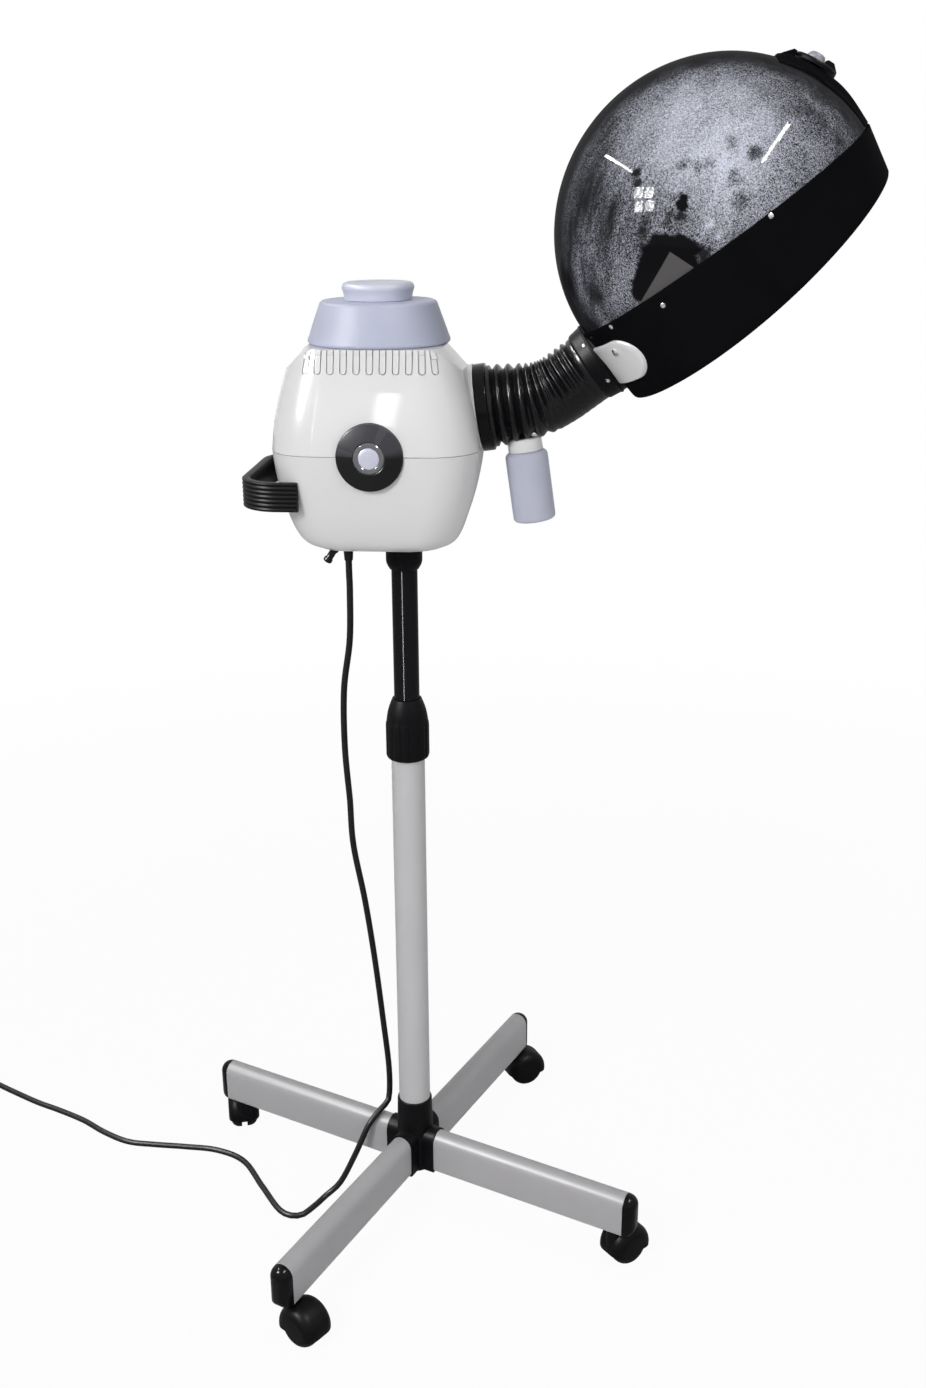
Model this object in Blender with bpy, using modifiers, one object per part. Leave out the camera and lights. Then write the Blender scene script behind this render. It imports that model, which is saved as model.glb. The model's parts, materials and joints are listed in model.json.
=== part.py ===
"""Salon hair steamer on a four-legged rolling stand, modelled at real size in metres, +Z up."""

import bpy
import bmesh
from math import asin, atan2, cos, degrees, pi, radians, sin, sqrt, tan
from mathutils import Matrix, Vector

# Clearances
GAP = 0.0003
FIT = 0.0006
EPS = 0.002

# Stand: where the pole axis stands, and how the legs are turned about it
MAST_X = -0.0946
MAST_Y = 0.0011
LEG_TURN = 65.8
LEG_COUNT = 4

# Legs
LEG_WIDTH = 0.025
LEG_HEIGHT = 0.049
LEG_WALL = 0.0015
LEG_TOP_Z = 0.0987
LEG_START = 0.037
LEG_END = 0.270
LEG_FOOT_RADIUS = 0.004
CAP_PLUG = 0.036
CAP_DOME = 0.0125

# Hub
HUB_BOTTOM_RADIUS = 0.0222
HUB_TOP_RADIUS = 0.0200
HUB_TOP_Z = 0.1387
HUB_ARM_LIP = 0.0020
HUB_SPIGOT = 0.040
HUB_FLOOR = 0.010

# Casters
STEM_REACH = 0.256
STEM_RADIUS = 0.0053
STEM_LENGTH = 0.026
CASTER_TRAIL = 0.017
CASTER_TURNS = (30.0, 105.0, -35.0, 40.0)
WHEEL_RADIUS = 0.0222
WHEEL_STEPS = 14
WHEEL_HALF_WIDTH = 0.0165
AXLE_RADIUS = 0.0030
WEB_THICKNESS = 0.0050
WEB_RADIUS = 0.0185
HOOD_SHELL = 0.0020
HOOD_SIDE = 0.0192
HOOD_ROUND = 0.0262
HOOD_EDGE = -0.0030
STEM_BOSS_RADIUS = 0.0085
# Barrel section of a caster: share of its radius, and share of its half width there
BARREL = ((0.66, 1.0), (0.92, 0.86), (1.0, 0.50))

# Pole
POLE_RADIUS = 0.018
POLE_WALL = 0.0015
POLE_TOP_Z = 0.592
MAST_RADIUS = 0.0135
MAST_WALL = 0.0015
MAST_BOTTOM_Z = 0.300
MAST_TOP_Z = 0.843
BUSH_LENGTH = 0.043

# Clamp
GRIP_BOTTOM_Z = 0.5675
GRIP_SHOULDER_Z = 0.6094
GRIP_TOP_Z = 0.6345
GRIP_RADIUS = 0.0232
GRIP_TOP_RADIUS = 0.0155
GRIP_FLUTES = 14
GRIP_FLUTE_DEPTH = 0.0012
COLLET_LENGTH = 0.019
COLLET_SLIT = 0.002

# Body shells
BODY_X = -0.0202
BODY_HALF_LENGTH = 0.101
BODY_HALF_WIDTH = 0.090
BODY_CORNER = 0.046
BODY_BOTTOM_Z = 0.8065
PARTING_Z = 0.9060
PARTING_GAP = 0.0006
SHOULDER_Z = 1.0030
SHOULDER_RADIUS = 0.0722
SHOULDER_SLOPE = 1.20
BODY_WALL = 0.0035
FLOOR_THICKNESS = 0.0425
CEILING_Z = 0.9720
CORNER_STEPS = 5
# Height above the parting line and how far the side has drawn in there
LOWER_SIDE = ((0.0, 0.0), (-0.026, 0.003), (-0.056, 0.0095), (-0.080, 0.0175), (-0.093, 0.0255),
              (-0.0995, 0.036))
UPPER_SIDE = ((0.0, 0.0), (0.024, 0.0026), (0.054, 0.0090), (0.080, 0.0165), (0.099, 0.0225))

# Vents along the top edge of both side faces
VENT_COUNT = 11
VENT_PITCH = 0.0120
VENT_WIDTH = 0.0052
VENT_BOTTOM_Z = 0.9815
VENT_DEPTH = 0.0040

# Pole socket under the body
SOCKET_RADIUS = 0.0188
SOCKET_BOTTOM_Z = 0.776
SOCKET_TAPER = 0.0065

# Handle
HANDLE_Z = 0.866
HANDLE_HEIGHT = 0.028
HANDLE_THICKNESS = 0.008
HANDLE_REACH = 0.132
HANDLE_END = 0.0715
HANDLE_INSET = 0.0032
HANDLE_CORNER = 0.040
HANDLE_GROOVES = 3
HANDLE_GROOVE_DEPTH = 0.0009

# Controls on the side face
BEZEL_RADIUS = 0.032
BEZEL_PROUD = 0.003
BEZEL_RISE = 0.003
BEZEL_DEPTH = 0.014
RING_RADIUS = 0.015
BUTTON_RADIUS = 0.010
BUTTON_TRAVEL = 0.003
BUTTON_STEM_RADIUS = 0.005
SWITCH_DEPTH = 0.020
SWITCH_HALF_WIDTH = 0.013
LAMP_Z = 0.925
LAMP_RADIUS = 0.0048
LAMP_PROUD = 0.009

# Tank and cap
TANK_BOTTOM_RADIUS = 0.0700
TANK_TOP_RADIUS = 0.0578
TANK_TOP_Z = 1.0435
TANK_WALL = 0.002
TANK_STEPS = 22
TANK_SEAT_RADIUS = 0.060
TANK_SEAT_DEPTH = 0.0185
TANK_NECK_RADIUS = 0.030
TANK_NECK_HEIGHT = 0.010
SPOUT_RADIUS = 0.0155
SPOUT_LENGTH = 0.027
CAP_RADIUS = 0.0352
CAP_HEIGHT = 0.0165
CAP_WALL = 0.0025

# Boiler inside the body
BOILER_RADIUS = 0.045
BOILER_WALL = 0.0015
BOILER_HEIGHT = 0.0555
BOILER_STEPS = 12
LID_THICKNESS = 0.0032
LID_OVERHANG = 0.0015
HEATER_HEIGHT = 0.020
HEATER_THICKNESS = 0.0032
FEED_RADIUS = 0.0205
FEED_WALL = 0.002
FEED_FLOOR_Z = 0.930
FEED_TOP_Z = 0.964
FEED_STEM_RADIUS = 0.006
RISER_RADIUS = 0.011
RISER_BORE = 0.0085
RISER_X = 0.031

# Steam outlet and its duct, in the port frame: x along the duct, z square to it
PORT_X = 0.0972
PORT_Z = 0.940
PORT_TILT = 8.0
FLANGE_RADIUS = 0.0425
FLANGE_LENGTH = 0.012
DUCT_RADIUS = 0.0275
DUCT_WALL = 0.0025
DUCT_BACK = 0.010
DUCT_END = 0.050
HINGE_S = 0.0673
EAR_HALF_WIDTH = 0.010
EAR_THICKNESS = 0.0040
OUTER_EAR_Y = 0.0205
PIN_RADIUS = 0.0035

# Drip bottle under the duct
DRIP_S = 0.0407
DRIP_TUBE_RADIUS = 0.0075
DRIP_TUBE_BORE = 0.005
DRIP_TUBE_LENGTH = 0.0225
DRIP_CAP_RADIUS = 0.0172
DRIP_CAP_TOP = 0.0340
DRIP_CAP_HEIGHT = 0.0135
DRIP_CAP_PLATE = 0.0025
BOTTLE_RADIUS = 0.0213
BOTTLE_HEIGHT = 0.070
BOTTLE_WALL = 0.0012
BOTTLE_STEPS = 14
BOTTLE_NECK_RADIUS = 0.0112
BOTTLE_NECK_HEIGHT = 0.0095

# Bellows between the body and the hood
BELLOWS_RIBS = 12
BELLOWS_START_RADIUS = 0.0405
BELLOWS_END_RADIUS = 0.0338
RIB_DEPTH = 0.0048
BELLOWS_WALL = 0.0012
BEND_LEAD = 0.022
BELLOWS_HOLE = 0.0182

# Hood, in the hinge frame: x along the neck, z square to it
HOOD_PITCH = 36.35
HOOD_BACK = 0.0665
HOOD_RAISE = 0.031
NECK_START = 0.022
NECK_RADIUS = 0.0255
NECK_BORE = 0.0195
NECK_END = 0.080
COLLAR_START = 0.0506
COLLAR_LENGTH = 0.0098
COLLAR_RADIUS = 0.0348
DOME_RADIUS = 0.1550
DOME_WALL = 0.0025
DOME_TUCK = 0.0045
SKIRT_PROUD = 0.0025
SKIRT_DRAFT = 0.0070
SKIRT_WALL = 0.0022
SKIRT_MID_DEPTH = 0.0710
SKIRT_SLOPE = 0.11
SKIRT_BOW = 0.35
SKIRT_STEPS = 32
SADDLE_HALF_LENGTH = 0.100
SADDLE_HALF_HEIGHT = 0.0215
SADDLE_DROP = 0.0370
SADDLE_THICKNESS = 0.003
NOZZLE_RADIUS = 0.021
NOZZLE_WALL = 0.003
NOZZLE_REACH = 0.0700
NOZZLE_RISE = 0.0720
SPINE_HALF_WIDTH = 0.027
SPINE_THICKNESS = 0.0055
SPINE_START = 0.6
SPINE_END = 38.0
VENT_DIAL_ANGLE = 25.0
VENT_DIAL_RADIUS = 0.0205
VENT_DIAL_THICKNESS = 0.0070
VENT_BAR_WIDTH = 0.013
VENT_BAR_LENGTH = 0.034
VENT_BAR_HEIGHT = 0.0075
VENT_SPINDLE_RADIUS = 0.005

# Drain and mains lead
DRAIN_X = -0.0640
DRAIN_Y = -0.030
DRAIN_TILT = 33.0
DRAIN_RADIUS = 0.0046
DRAIN_LENGTH = 0.020
CORD_RADIUS = 0.0035
BOOT_X = -0.0595
BOOT_Y = 0.012
BOOT_RADIUS = 0.0062
BOOT_LENGTH = 0.026
INLET_DEPTH = 0.012
CORD_STEP = 0.022
# Points chosen along the lead, measured from the foot of the pole axis
HANG_ROUTE = (
    (-0.0600, 0.0160, 0.745), (-0.0630, 0.0230, 0.690), (-0.0720, 0.0290, 0.632),
    (-0.0735, 0.0300, 0.565), (-0.0700, 0.0310, 0.500))
DROP_ROUTE = (
    (-0.0700, 0.0310, 0.500), (-0.0680, 0.0320, 0.445), (-0.0570, 0.0330, 0.375),
    (-0.0480, 0.0340, 0.300), (-0.0400, 0.0350, 0.215), (-0.0345, 0.0345, 0.150),
    (-0.0348, 0.0270, 0.1130), (-0.0425, 0.0165, 0.1060), (-0.0560, 0.0020, 0.0920),
    (-0.0720, -0.0070, 0.0560), (-0.0900, -0.0130, 0.0200), (-0.1070, -0.0200, 0.0050),
    (-0.1190, -0.0400, 0.0038), (-0.1330, -0.0565, 0.0038), (-0.1560, -0.0500, 0.0038),
    (-0.1870, -0.0080, 0.0038), (-0.2200, 0.0380, 0.0038), (-0.2580, 0.0570, 0.0038),
    (-0.3000, 0.0610, 0.0038), (-0.3400, 0.0625, 0.0038), (-0.3760, 0.0660, 0.0038),
    (-0.4120, 0.0830, 0.0038), (-0.4460, 0.1050, 0.0038), (-0.4850, 0.1240, 0.0038),
    (-0.5180, 0.1380, 0.0038), (-0.5520, 0.1555, 0.0038), (-0.5850, 0.1735, 0.0038))
COIL_X = -0.6530
COIL_Y = 0.1555
COIL_START = 62.5
COIL_OUTER = 0.0465
COIL_PITCH = 0.0078
COIL_TURNS = 2
COIL_STEPS = 22
COIL_TAIL = 0.036
PLUG_RADIUS = 0.0150
PLUG_LENGTH = 0.036
PLUG_NOSE = 0.012
PIN_LENGTH = 0.019
PIN_SPREAD = 0.0095

# Worked out from the sizes above
LEG_BOTTOM_Z = LEG_TOP_Z - LEG_HEIGHT
HANDLE_HALF_WIDTH = BODY_HALF_WIDTH - HANDLE_INSET
HOOD_REACH = HOOD_BACK + DOME_RADIUS
SKIRT_RADIUS = DOME_RADIUS + SKIRT_PROUD
AXLE_Z = WHEEL_RADIUS * cos(pi / WHEEL_STEPS)
FLOOR_Z = BODY_BOTTOM_Z + FLOOR_THICKNESS
LID_Z = FLOOR_Z + GAP + BOILER_HEIGHT + GAP
BEZEL_FRONT = BODY_HALF_WIDTH + BEZEL_PROUD
BEZEL_BACK = BEZEL_FRONT - BEZEL_DEPTH
RING_FRONT = BEZEL_FRONT + BEZEL_RISE
INNER_EAR_Y = OUTER_EAR_Y - GAP - EAR_THICKNESS
PIN_HALF = OUTER_EAR_Y + EAR_THICKNESS + FIT
BEND = HOOD_PITCH - PORT_TILT
TANK_SEAT_Z = SHOULDER_Z + GAP - TANK_SEAT_DEPTH
COIL_Z = CORD_RADIUS + GAP
UP = Vector((0, 0, 1))
FACING_FRONT = (radians(90), 0, 0)
ALONG_X = (0, radians(90), 0)

for old in list(bpy.data.objects):
    bpy.data.objects.remove(old, do_unlink=True)


def collection(name):
    made = bpy.data.collections.new(name)
    bpy.context.scene.collection.children.link(made)
    return made


PARTS = collection("hair_steamer")
CUTTERS = collection("cutters")


def finish(name, colour, roughness, metallic=0.0, transmission=0.0):
    made = bpy.data.materials.new(name)
    made.use_nodes = True
    shader = made.node_tree.nodes["Principled BSDF"]
    shader.inputs["Base Color"].default_value = (*colour, 1.0)
    shader.inputs["Roughness"].default_value = roughness
    shader.inputs["Metallic"].default_value = metallic
    shader.inputs["Transmission Weight"].default_value = transmission
    return made


WHITE = finish("ivory_abs", (0.82, 0.80, 0.76), 0.30)
GREY_PAINT = finish("grey_enamel", (0.52, 0.51, 0.52), 0.38)
BLACK_GLOSS = finish("black_gloss_plastic", (0.015, 0.015, 0.017), 0.22)
BLACK_MATT = finish("black_matt_plastic", (0.020, 0.020, 0.022), 0.50)
RUBBER = finish("black_rubber", (0.017, 0.017, 0.019), 0.42)
MILKY = finish("milky_polythene", (0.55, 0.57, 0.72), 0.42, transmission=0.25)
SMOKE = finish("smoke_acrylic", (0.16, 0.16, 0.17), 0.10, transmission=0.85)
STEEL = finish("bright_steel", (0.60, 0.60, 0.62), 0.28, metallic=1.0)
LILAC = finish("lilac_grey_plastic", (0.56, 0.56, 0.66), 0.40)
CLEAR = finish("clear_lens", (0.80, 0.80, 0.84), 0.12, transmission=0.80)
NYLON = finish("natural_nylon", (0.70, 0.68, 0.62), 0.50)


def empty(name, location, parent=None, rotation=(0, 0, 0)):
    """An axis or frame that pieces hang from."""
    made = bpy.data.objects.new(name, None)
    PARTS.objects.link(made)
    made.location = location
    made.rotation_euler = rotation
    made.parent = parent
    made.empty_display_size = 0.02
    return made


def piece(name, data, material, parent, location=(0, 0, 0), rotation=(0, 0, 0)):
    """A named sub-part with its finish, set in its parent's frame."""
    made = bpy.data.objects.new(name, data)
    PARTS.objects.link(made)
    made.parent = parent
    made.location = location
    made.rotation_euler = rotation
    if material is not None:
        data.materials.append(material)
    return made


def smooth(mesh, angle=32.0):
    mesh.shade_smooth()
    mesh.set_sharp_from_angle(angle=radians(angle))


def revolve(name, profile, material, parent, steps=32, closed=False, location=(0, 0, 0), rotation=(0, 0, 0)):
    """A turned piece: the profile of (radius, height) runs down its outer side."""
    mesh = bpy.data.meshes.new(name)
    links = [(i, i + 1) for i in range(len(profile) - 1)]
    if closed:
        links.append((len(profile) - 1, 0))
    mesh.from_pydata([(r, 0, z) for r, z in profile], links, [])
    made = piece(name, mesh, material, parent, location, rotation)
    turn = made.modifiers.new("turn", "SCREW")
    turn.steps = steps
    turn.render_steps = steps
    turn.use_merge_vertices = True
    turn.merge_threshold = 1e-5
    turn.use_smooth_shade = True
    return made


def mesh_from(bm, name):
    bmesh.ops.recalc_face_normals(bm, faces=bm.faces)
    mesh = bpy.data.meshes.new(name)
    bm.to_mesh(mesh)
    bm.free()
    smooth(mesh)
    return mesh


def loft(name, rings, material, parent, wrap=False, location=(0, 0, 0), rotation=(0, 0, 0)):
    """A skin over rings of equal count, closed by end faces, or by its first ring where it wraps."""
    bm = bmesh.new()
    rows = [[bm.verts.new(point) for point in ring] for ring in rings]
    pairs = list(zip(rows, rows[1:]))
    if wrap:
        pairs.append((rows[-1], rows[0]))
    else:
        bm.faces.new(rows[0])
        bm.faces.new(rows[-1])
    for one, two in pairs:
        for i in range(len(one)):
            j = (i + 1) % len(one)
            bm.faces.new((one[i], one[j], two[j], two[i]))
    return piece(name, mesh_from(bm, name), material, parent, location, rotation)


def as_mesh(name, curve, material, parent, location=(0, 0, 0), rotation=(0, 0, 0)):
    """A curve's surface as a mesh piece, with its end caps welded on."""
    source = bpy.data.objects.new(name + "_curve", curve)
    PARTS.objects.link(source)
    graph = bpy.context.evaluated_depsgraph_get()
    mesh = bpy.data.meshes.new_from_object(source.evaluated_get(graph))
    bpy.data.objects.remove(source, do_unlink=True)
    bpy.data.curves.remove(curve)
    bm = bmesh.new()
    bm.from_mesh(mesh)
    bpy.data.meshes.remove(mesh)
    bmesh.ops.remove_doubles(bm, verts=bm.verts, dist=1e-6)
    return piece(name, mesh_from(bm, name), material, parent, location, rotation)


def prism(name, outlines, thickness, material, parent, location=(0, 0, 0), rotation=(0, 0, 0)):
    """A flat outline, with any holes after it, given a thickness about its own plane."""
    curve = bpy.data.curves.new(name, "CURVE")
    curve.dimensions = "2D"
    curve.fill_mode = "BOTH"
    curve.extrude = thickness / 2
    for outline in outlines:
        spline = curve.splines.new("POLY")
        spline.points.add(len(outline) - 1)
        for point, (x, y) in zip(spline.points, outline):
            point.co = (x, y, 0, 1)
        spline.use_cyclic_u = True
    return as_mesh(name, curve, material, parent, location, rotation)


def tube_curve(name, points, radii, resolution):
    curve = bpy.data.curves.new(name, "CURVE")
    curve.dimensions = "3D"
    curve.bevel_depth = radii[0]
    curve.bevel_resolution = resolution
    curve.use_fill_caps = True
    spline = curve.splines.new("POLY")
    spline.points.add(len(points) - 1)
    for point, place, radius in zip(spline.points, points, radii):
        point.co = (*place, 1)
        point.radius = radius / radii[0]
    return curve


def tube(name, points, radii, material, parent, resolution=4):
    """A round bar along points, with one radius or one for each point, as a mesh."""
    if not isinstance(radii, (list, tuple)):
        radii = [radii] * len(points)
    return as_mesh(name, tube_curve(name, points, radii, resolution), material, parent)


def box(name, low, high, parent, location=(0, 0, 0), rotation=(0, 0, 0), material=None):
    bm = bmesh.new()
    bmesh.ops.create_cube(bm, size=1.0)
    for vert in bm.verts:
        vert.co = Vector(a + (b - a) * (c + 0.5) for a, b, c in zip(low, high, vert.co))
    return piece(name, mesh_from(bm, name), material, parent, location, rotation)


def cylinder(name, radius, low, high, parent, location=(0, 0, 0), rotation=(0, 0, 0), steps=24):
    return revolve(name, [(0, high), (radius, high), (radius, low), (0, low)], None, parent, steps,
                   location=location, rotation=rotation)


def boolean(target, tool, operation="DIFFERENCE"):
    """Cut, join or keep the overlap with a hidden tool."""
    change = target.modifiers.new(tool.name, "BOOLEAN")
    change.operation = operation
    change.object = tool
    change.solver = "EXACT"
    if tool.name not in CUTTERS.objects:
        PARTS.objects.unlink(tool)
        CUTTERS.objects.link(tool)
    tool.hide_render = True
    tool.display_type = "WIRE"
    return target


def arc(cx, cy, radius, start, end, steps):
    """Points on a round stretch, angles in degrees."""
    turns = [radians(start + (end - start) * i / steps) for i in range(steps + 1)]
    return [(cx + radius * cos(a), cy + radius * sin(a)) for a in turns]


def arch(width, height, corner, lift=0.0):
    """The leg's section: a round top on straight sides, with small bottom corners."""
    half = width / 2
    points = arc(half - corner, lift + corner, corner, -90, 0, 1)
    points += arc(0, lift + height - half, half, 0, 180, 8)
    points += arc(-half + corner, lift + corner, corner, 180, 270, 1)
    return points


def rounded_box(half_x, half_y, corner, steps=CORNER_STEPS):
    points = []
    for sx, sy, start in ((1, 1, 0), (-1, 1, 90), (-1, -1, 180), (1, -1, 270)):
        points += arc(sx * (half_x - corner), sy * (half_y - corner), corner, start, start + 90, steps)
    return points


def body_ring(inset, z, wall=0.0):
    ring = rounded_box(BODY_HALF_LENGTH - inset - wall, BODY_HALF_WIDTH - inset - wall,
                       BODY_CORNER - 0.3 * inset - wall)
    return [(x, y, z) for x, y in ring]


def side_inset(z):
    """How far the upper shell's side has drawn in at a height."""
    rise = z - PARTING_Z
    for (low, a), (high, b) in zip(UPPER_SIDE, UPPER_SIDE[1:]):
        if rise <= high:
            return a + (b - a) * (rise - low) / (high - low)
    return UPPER_SIDE[-1][1]


STAND = empty("stand", (MAST_X, MAST_Y, 0))
MAST = empty("mast", (0, 0, 0), STAND)
HEAD = empty("head", (0, 0, 0), MAST)
BODY = empty("body", (BODY_X, 0, 0), HEAD)
PORT = empty("port", (PORT_X, 0, PORT_Z), BODY, (0, -radians(PORT_TILT), 0))
HINGE = empty("hood_hinge", (HINGE_S, 0, 0), PORT, (0, -radians(BEND), 0))
HOOD = empty("hood_centre", (HOOD_REACH, 0, HOOD_RAISE), HINGE)


def leg_frame(k):
    """Turn of the k-th leg about the pole, in radians."""
    return radians(LEG_TURN + 360.0 / LEG_COUNT * k)


def leg_rotation(k):
    """Sets a section's plane upright across the leg, its depth along it."""
    a = leg_frame(k)
    across = Vector((-sin(a), cos(a), 0))
    along = Vector((cos(a), sin(a), 0))
    return Matrix((across, UP, along)).transposed().to_euler()


def on_leg(k, reach, z=0.0):
    a = leg_frame(k)
    return (reach * cos(a), reach * sin(a), z)


def inner_arch(clearance):
    shrink = LEG_WALL + clearance
    return arch(LEG_WIDTH - 2 * shrink, LEG_HEIGHT - 2 * shrink, LEG_FOOT_RADIUS - LEG_WALL / 2,
                LEG_BOTTOM_Z + shrink)


def stem_bore(k, name):
    return cylinder(name, STEM_RADIUS + GAP, LEG_BOTTOM_Z - EPS, LEG_BOTTOM_Z + STEM_LENGTH + 2 * EPS,
                    STAND, on_leg(k, STEM_REACH), steps=10)


def make_legs():
    outer = arch(LEG_WIDTH, LEG_HEIGHT, LEG_FOOT_RADIUS, LEG_BOTTOM_Z)
    for k in range(LEG_COUNT):
        middle = on_leg(k, (LEG_START + LEG_END) / 2)
        leg = prism(f"leg_{k + 1}", [outer, inner_arch(0)], LEG_END - LEG_START, GREY_PAINT, STAND,
                    middle, leg_rotation(k))
        boolean(leg, stem_bore(k, f"leg_bore_{k + 1}"))


def make_leg_caps():
    plug = inner_arch(GAP)
    outer = arch(LEG_WIDTH, LEG_HEIGHT, LEG_FOOT_RADIUS, LEG_BOTTOM_Z)
    centre = LEG_TOP_Z - LEG_HEIGHT / 2
    rings = [[(x, y, LEG_END - CAP_PLUG) for x, y in plug], [(x, y, LEG_END + GAP) for x, y in plug]]
    for share, bulge in ((1.0, 0.0), (1.0, 0.30), (0.90, 0.72), (0.56, 1.0)):
        depth = LEG_END + GAP + CAP_DOME * bulge
        drop = 1.0 - (1.0 - share) * 0.55
        rings.append([(x * share, centre + (y - centre) * drop, depth) for x, y in outer])
    for k in range(LEG_COUNT):
        cap = loft(f"leg_cap_{k + 1}", rings, BLACK_GLOSS, STAND, rotation=leg_rotation(k))
        boolean(cap, stem_bore(k, f"cap_bore_{k + 1}"))


def make_hub():
    low = LEG_BOTTOM_Z - HUB_ARM_LIP
    side = [(0, HUB_TOP_Z), (HUB_TOP_RADIUS, HUB_TOP_Z), (HUB_BOTTOM_RADIUS, low), (0, low)]
    hub = revolve("base_hub", side, BLACK_MATT, STAND, 20)
    arm = arch(LEG_WIDTH + 2 * HUB_ARM_LIP, LEG_HEIGHT + 2 * HUB_ARM_LIP, LEG_FOOT_RADIUS, low)
    for k in range(LEG_COUNT // 2):
        arms = prism(f"hub_arm_{k + 1}", [arm], 2 * (LEG_START - GAP), None, STAND, rotation=leg_rotation(k))
        boolean(hub, arms, "UNION")
        spigots = prism(f"hub_spigot_{k + 1}", [inner_arch(GAP)], 2 * (LEG_START + HUB_SPIGOT), None, STAND,
                        rotation=leg_rotation(k))
        boolean(hub, spigots, "UNION")
    floor = LEG_BOTTOM_Z + HUB_FLOOR
    boolean(hub, cylinder("hub_bore", POLE_RADIUS + GAP, floor, HUB_TOP_Z + EPS, STAND, steps=20))


def make_caster(k):
    """Hooded twin-wheel caster: its frame stands on the stem's axis, trailing along x."""
    turn = empty(f"caster_{k + 1}", on_leg(k, STEM_REACH), STAND, (0, 0, radians(CASTER_TURNS[k])))
    axle = (CASTER_TRAIL, 0, AXLE_Z)
    hood = caster_barrel(f"caster_hood_{k + 1}", 0.0, BLACK_MATT, turn, axle)
    boolean(hood, caster_barrel(f"caster_space_{k + 1}", HOOD_SHELL, None, turn, axle))
    reach = HOOD_ROUND + EPS
    low, high = (-reach, -reach, -reach), (reach, reach, HOOD_EDGE)
    boolean(hood, box(f"caster_mouth_{k + 1}", low, high, turn, axle))
    foot = AXLE_Z + 2 * HOOD_SHELL
    top = LEG_BOTTOM_Z - 2 * GAP
    tip = LEG_BOTTOM_Z + STEM_LENGTH
    profile = [(0, tip), (STEM_RADIUS, tip), (STEM_RADIUS, top), (STEM_BOSS_RADIUS, top),
               (STEM_BOSS_RADIUS, foot), (0, foot)]
    stem = revolve(f"caster_stem_{k + 1}", profile, None, turn, 10)
    boolean(stem, caster_barrel(f"caster_trim_{k + 1}", HOOD_SHELL / 2, None, turn, axle))
    boolean(hood, stem, "UNION")
    side = WEB_RADIUS * 0.3
    start = 90 - degrees(asin(side / WEB_RADIUS))
    crown = HOOD_ROUND - HOOD_SHELL / 2
    outline = arc(0, 0, WEB_RADIUS, start, start - 360 + 2 * (90 - start), 14)
    outline += [(-side, crown), (side, crown)]
    bore = arc(0, 0, AXLE_RADIUS + GAP, 0, 324, 9)
    web = prism(f"caster_web_{k + 1}", [outline, bore], WEB_THICKNESS, None, turn, axle, FACING_FRONT)
    boolean(hood, web, "UNION")
    make_wheels(k, turn, axle)


def caster_barrel(name, inset, material, turn, axle):
    """A round-edged drum turned about the axle, drawn in by an inset all over."""
    half = barrel_side(HOOD_ROUND - inset, HOOD_SIDE - inset)
    profile = [(0, HOOD_SIDE - inset)] + half
    profile += [(r, -w) for r, w in reversed(half)] + [(0, inset - HOOD_SIDE)]
    return revolve(name, profile, material, turn, 12, location=axle, rotation=FACING_FRONT)


def barrel_side(radius, half_width):
    return [(radius * r, half_width * w) for r, w in BARREL]


def make_wheels(k, turn, axle):
    """Two domed wheels on one axle, turned as a single spool."""
    inside = WEB_THICKNESS / 2 + FIT
    half = barrel_side(WHEEL_RADIUS, WHEEL_HALF_WIDTH)
    half += [(WHEEL_RADIUS, inside + GAP), (AXLE_RADIUS, inside)]
    profile = [(0, WHEEL_HALF_WIDTH)] + half
    profile += [(r, -w) for r, w in reversed(half)] + [(0, -WHEEL_HALF_WIDTH)]
    revolve(f"caster_wheels_{k + 1}", profile, BLACK_MATT, turn, WHEEL_STEPS, location=axle,
            rotation=FACING_FRONT)


def ring_profile(outer, inner, low, high):
    return [(outer, high), (outer, low), (inner, low), (inner, high)]


def make_pole():
    low = LEG_BOTTOM_Z + HUB_FLOOR + GAP
    revolve("lower_pole", ring_profile(POLE_RADIUS, POLE_RADIUS - POLE_WALL, low, POLE_TOP_Z), GREY_PAINT,
            STAND, 24, True)
    revolve("upper_pole", ring_profile(MAST_RADIUS, MAST_RADIUS - MAST_WALL, MAST_BOTTOM_Z, MAST_TOP_Z),
            BLACK_GLOSS, MAST, 24, True)
    bush = ring_profile(POLE_RADIUS - POLE_WALL - GAP, MAST_RADIUS + GAP, MAST_BOTTOM_Z,
                        MAST_BOTTOM_Z + BUSH_LENGTH)
    revolve("pole_bush", bush, NYLON, MAST, 20, True)


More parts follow.
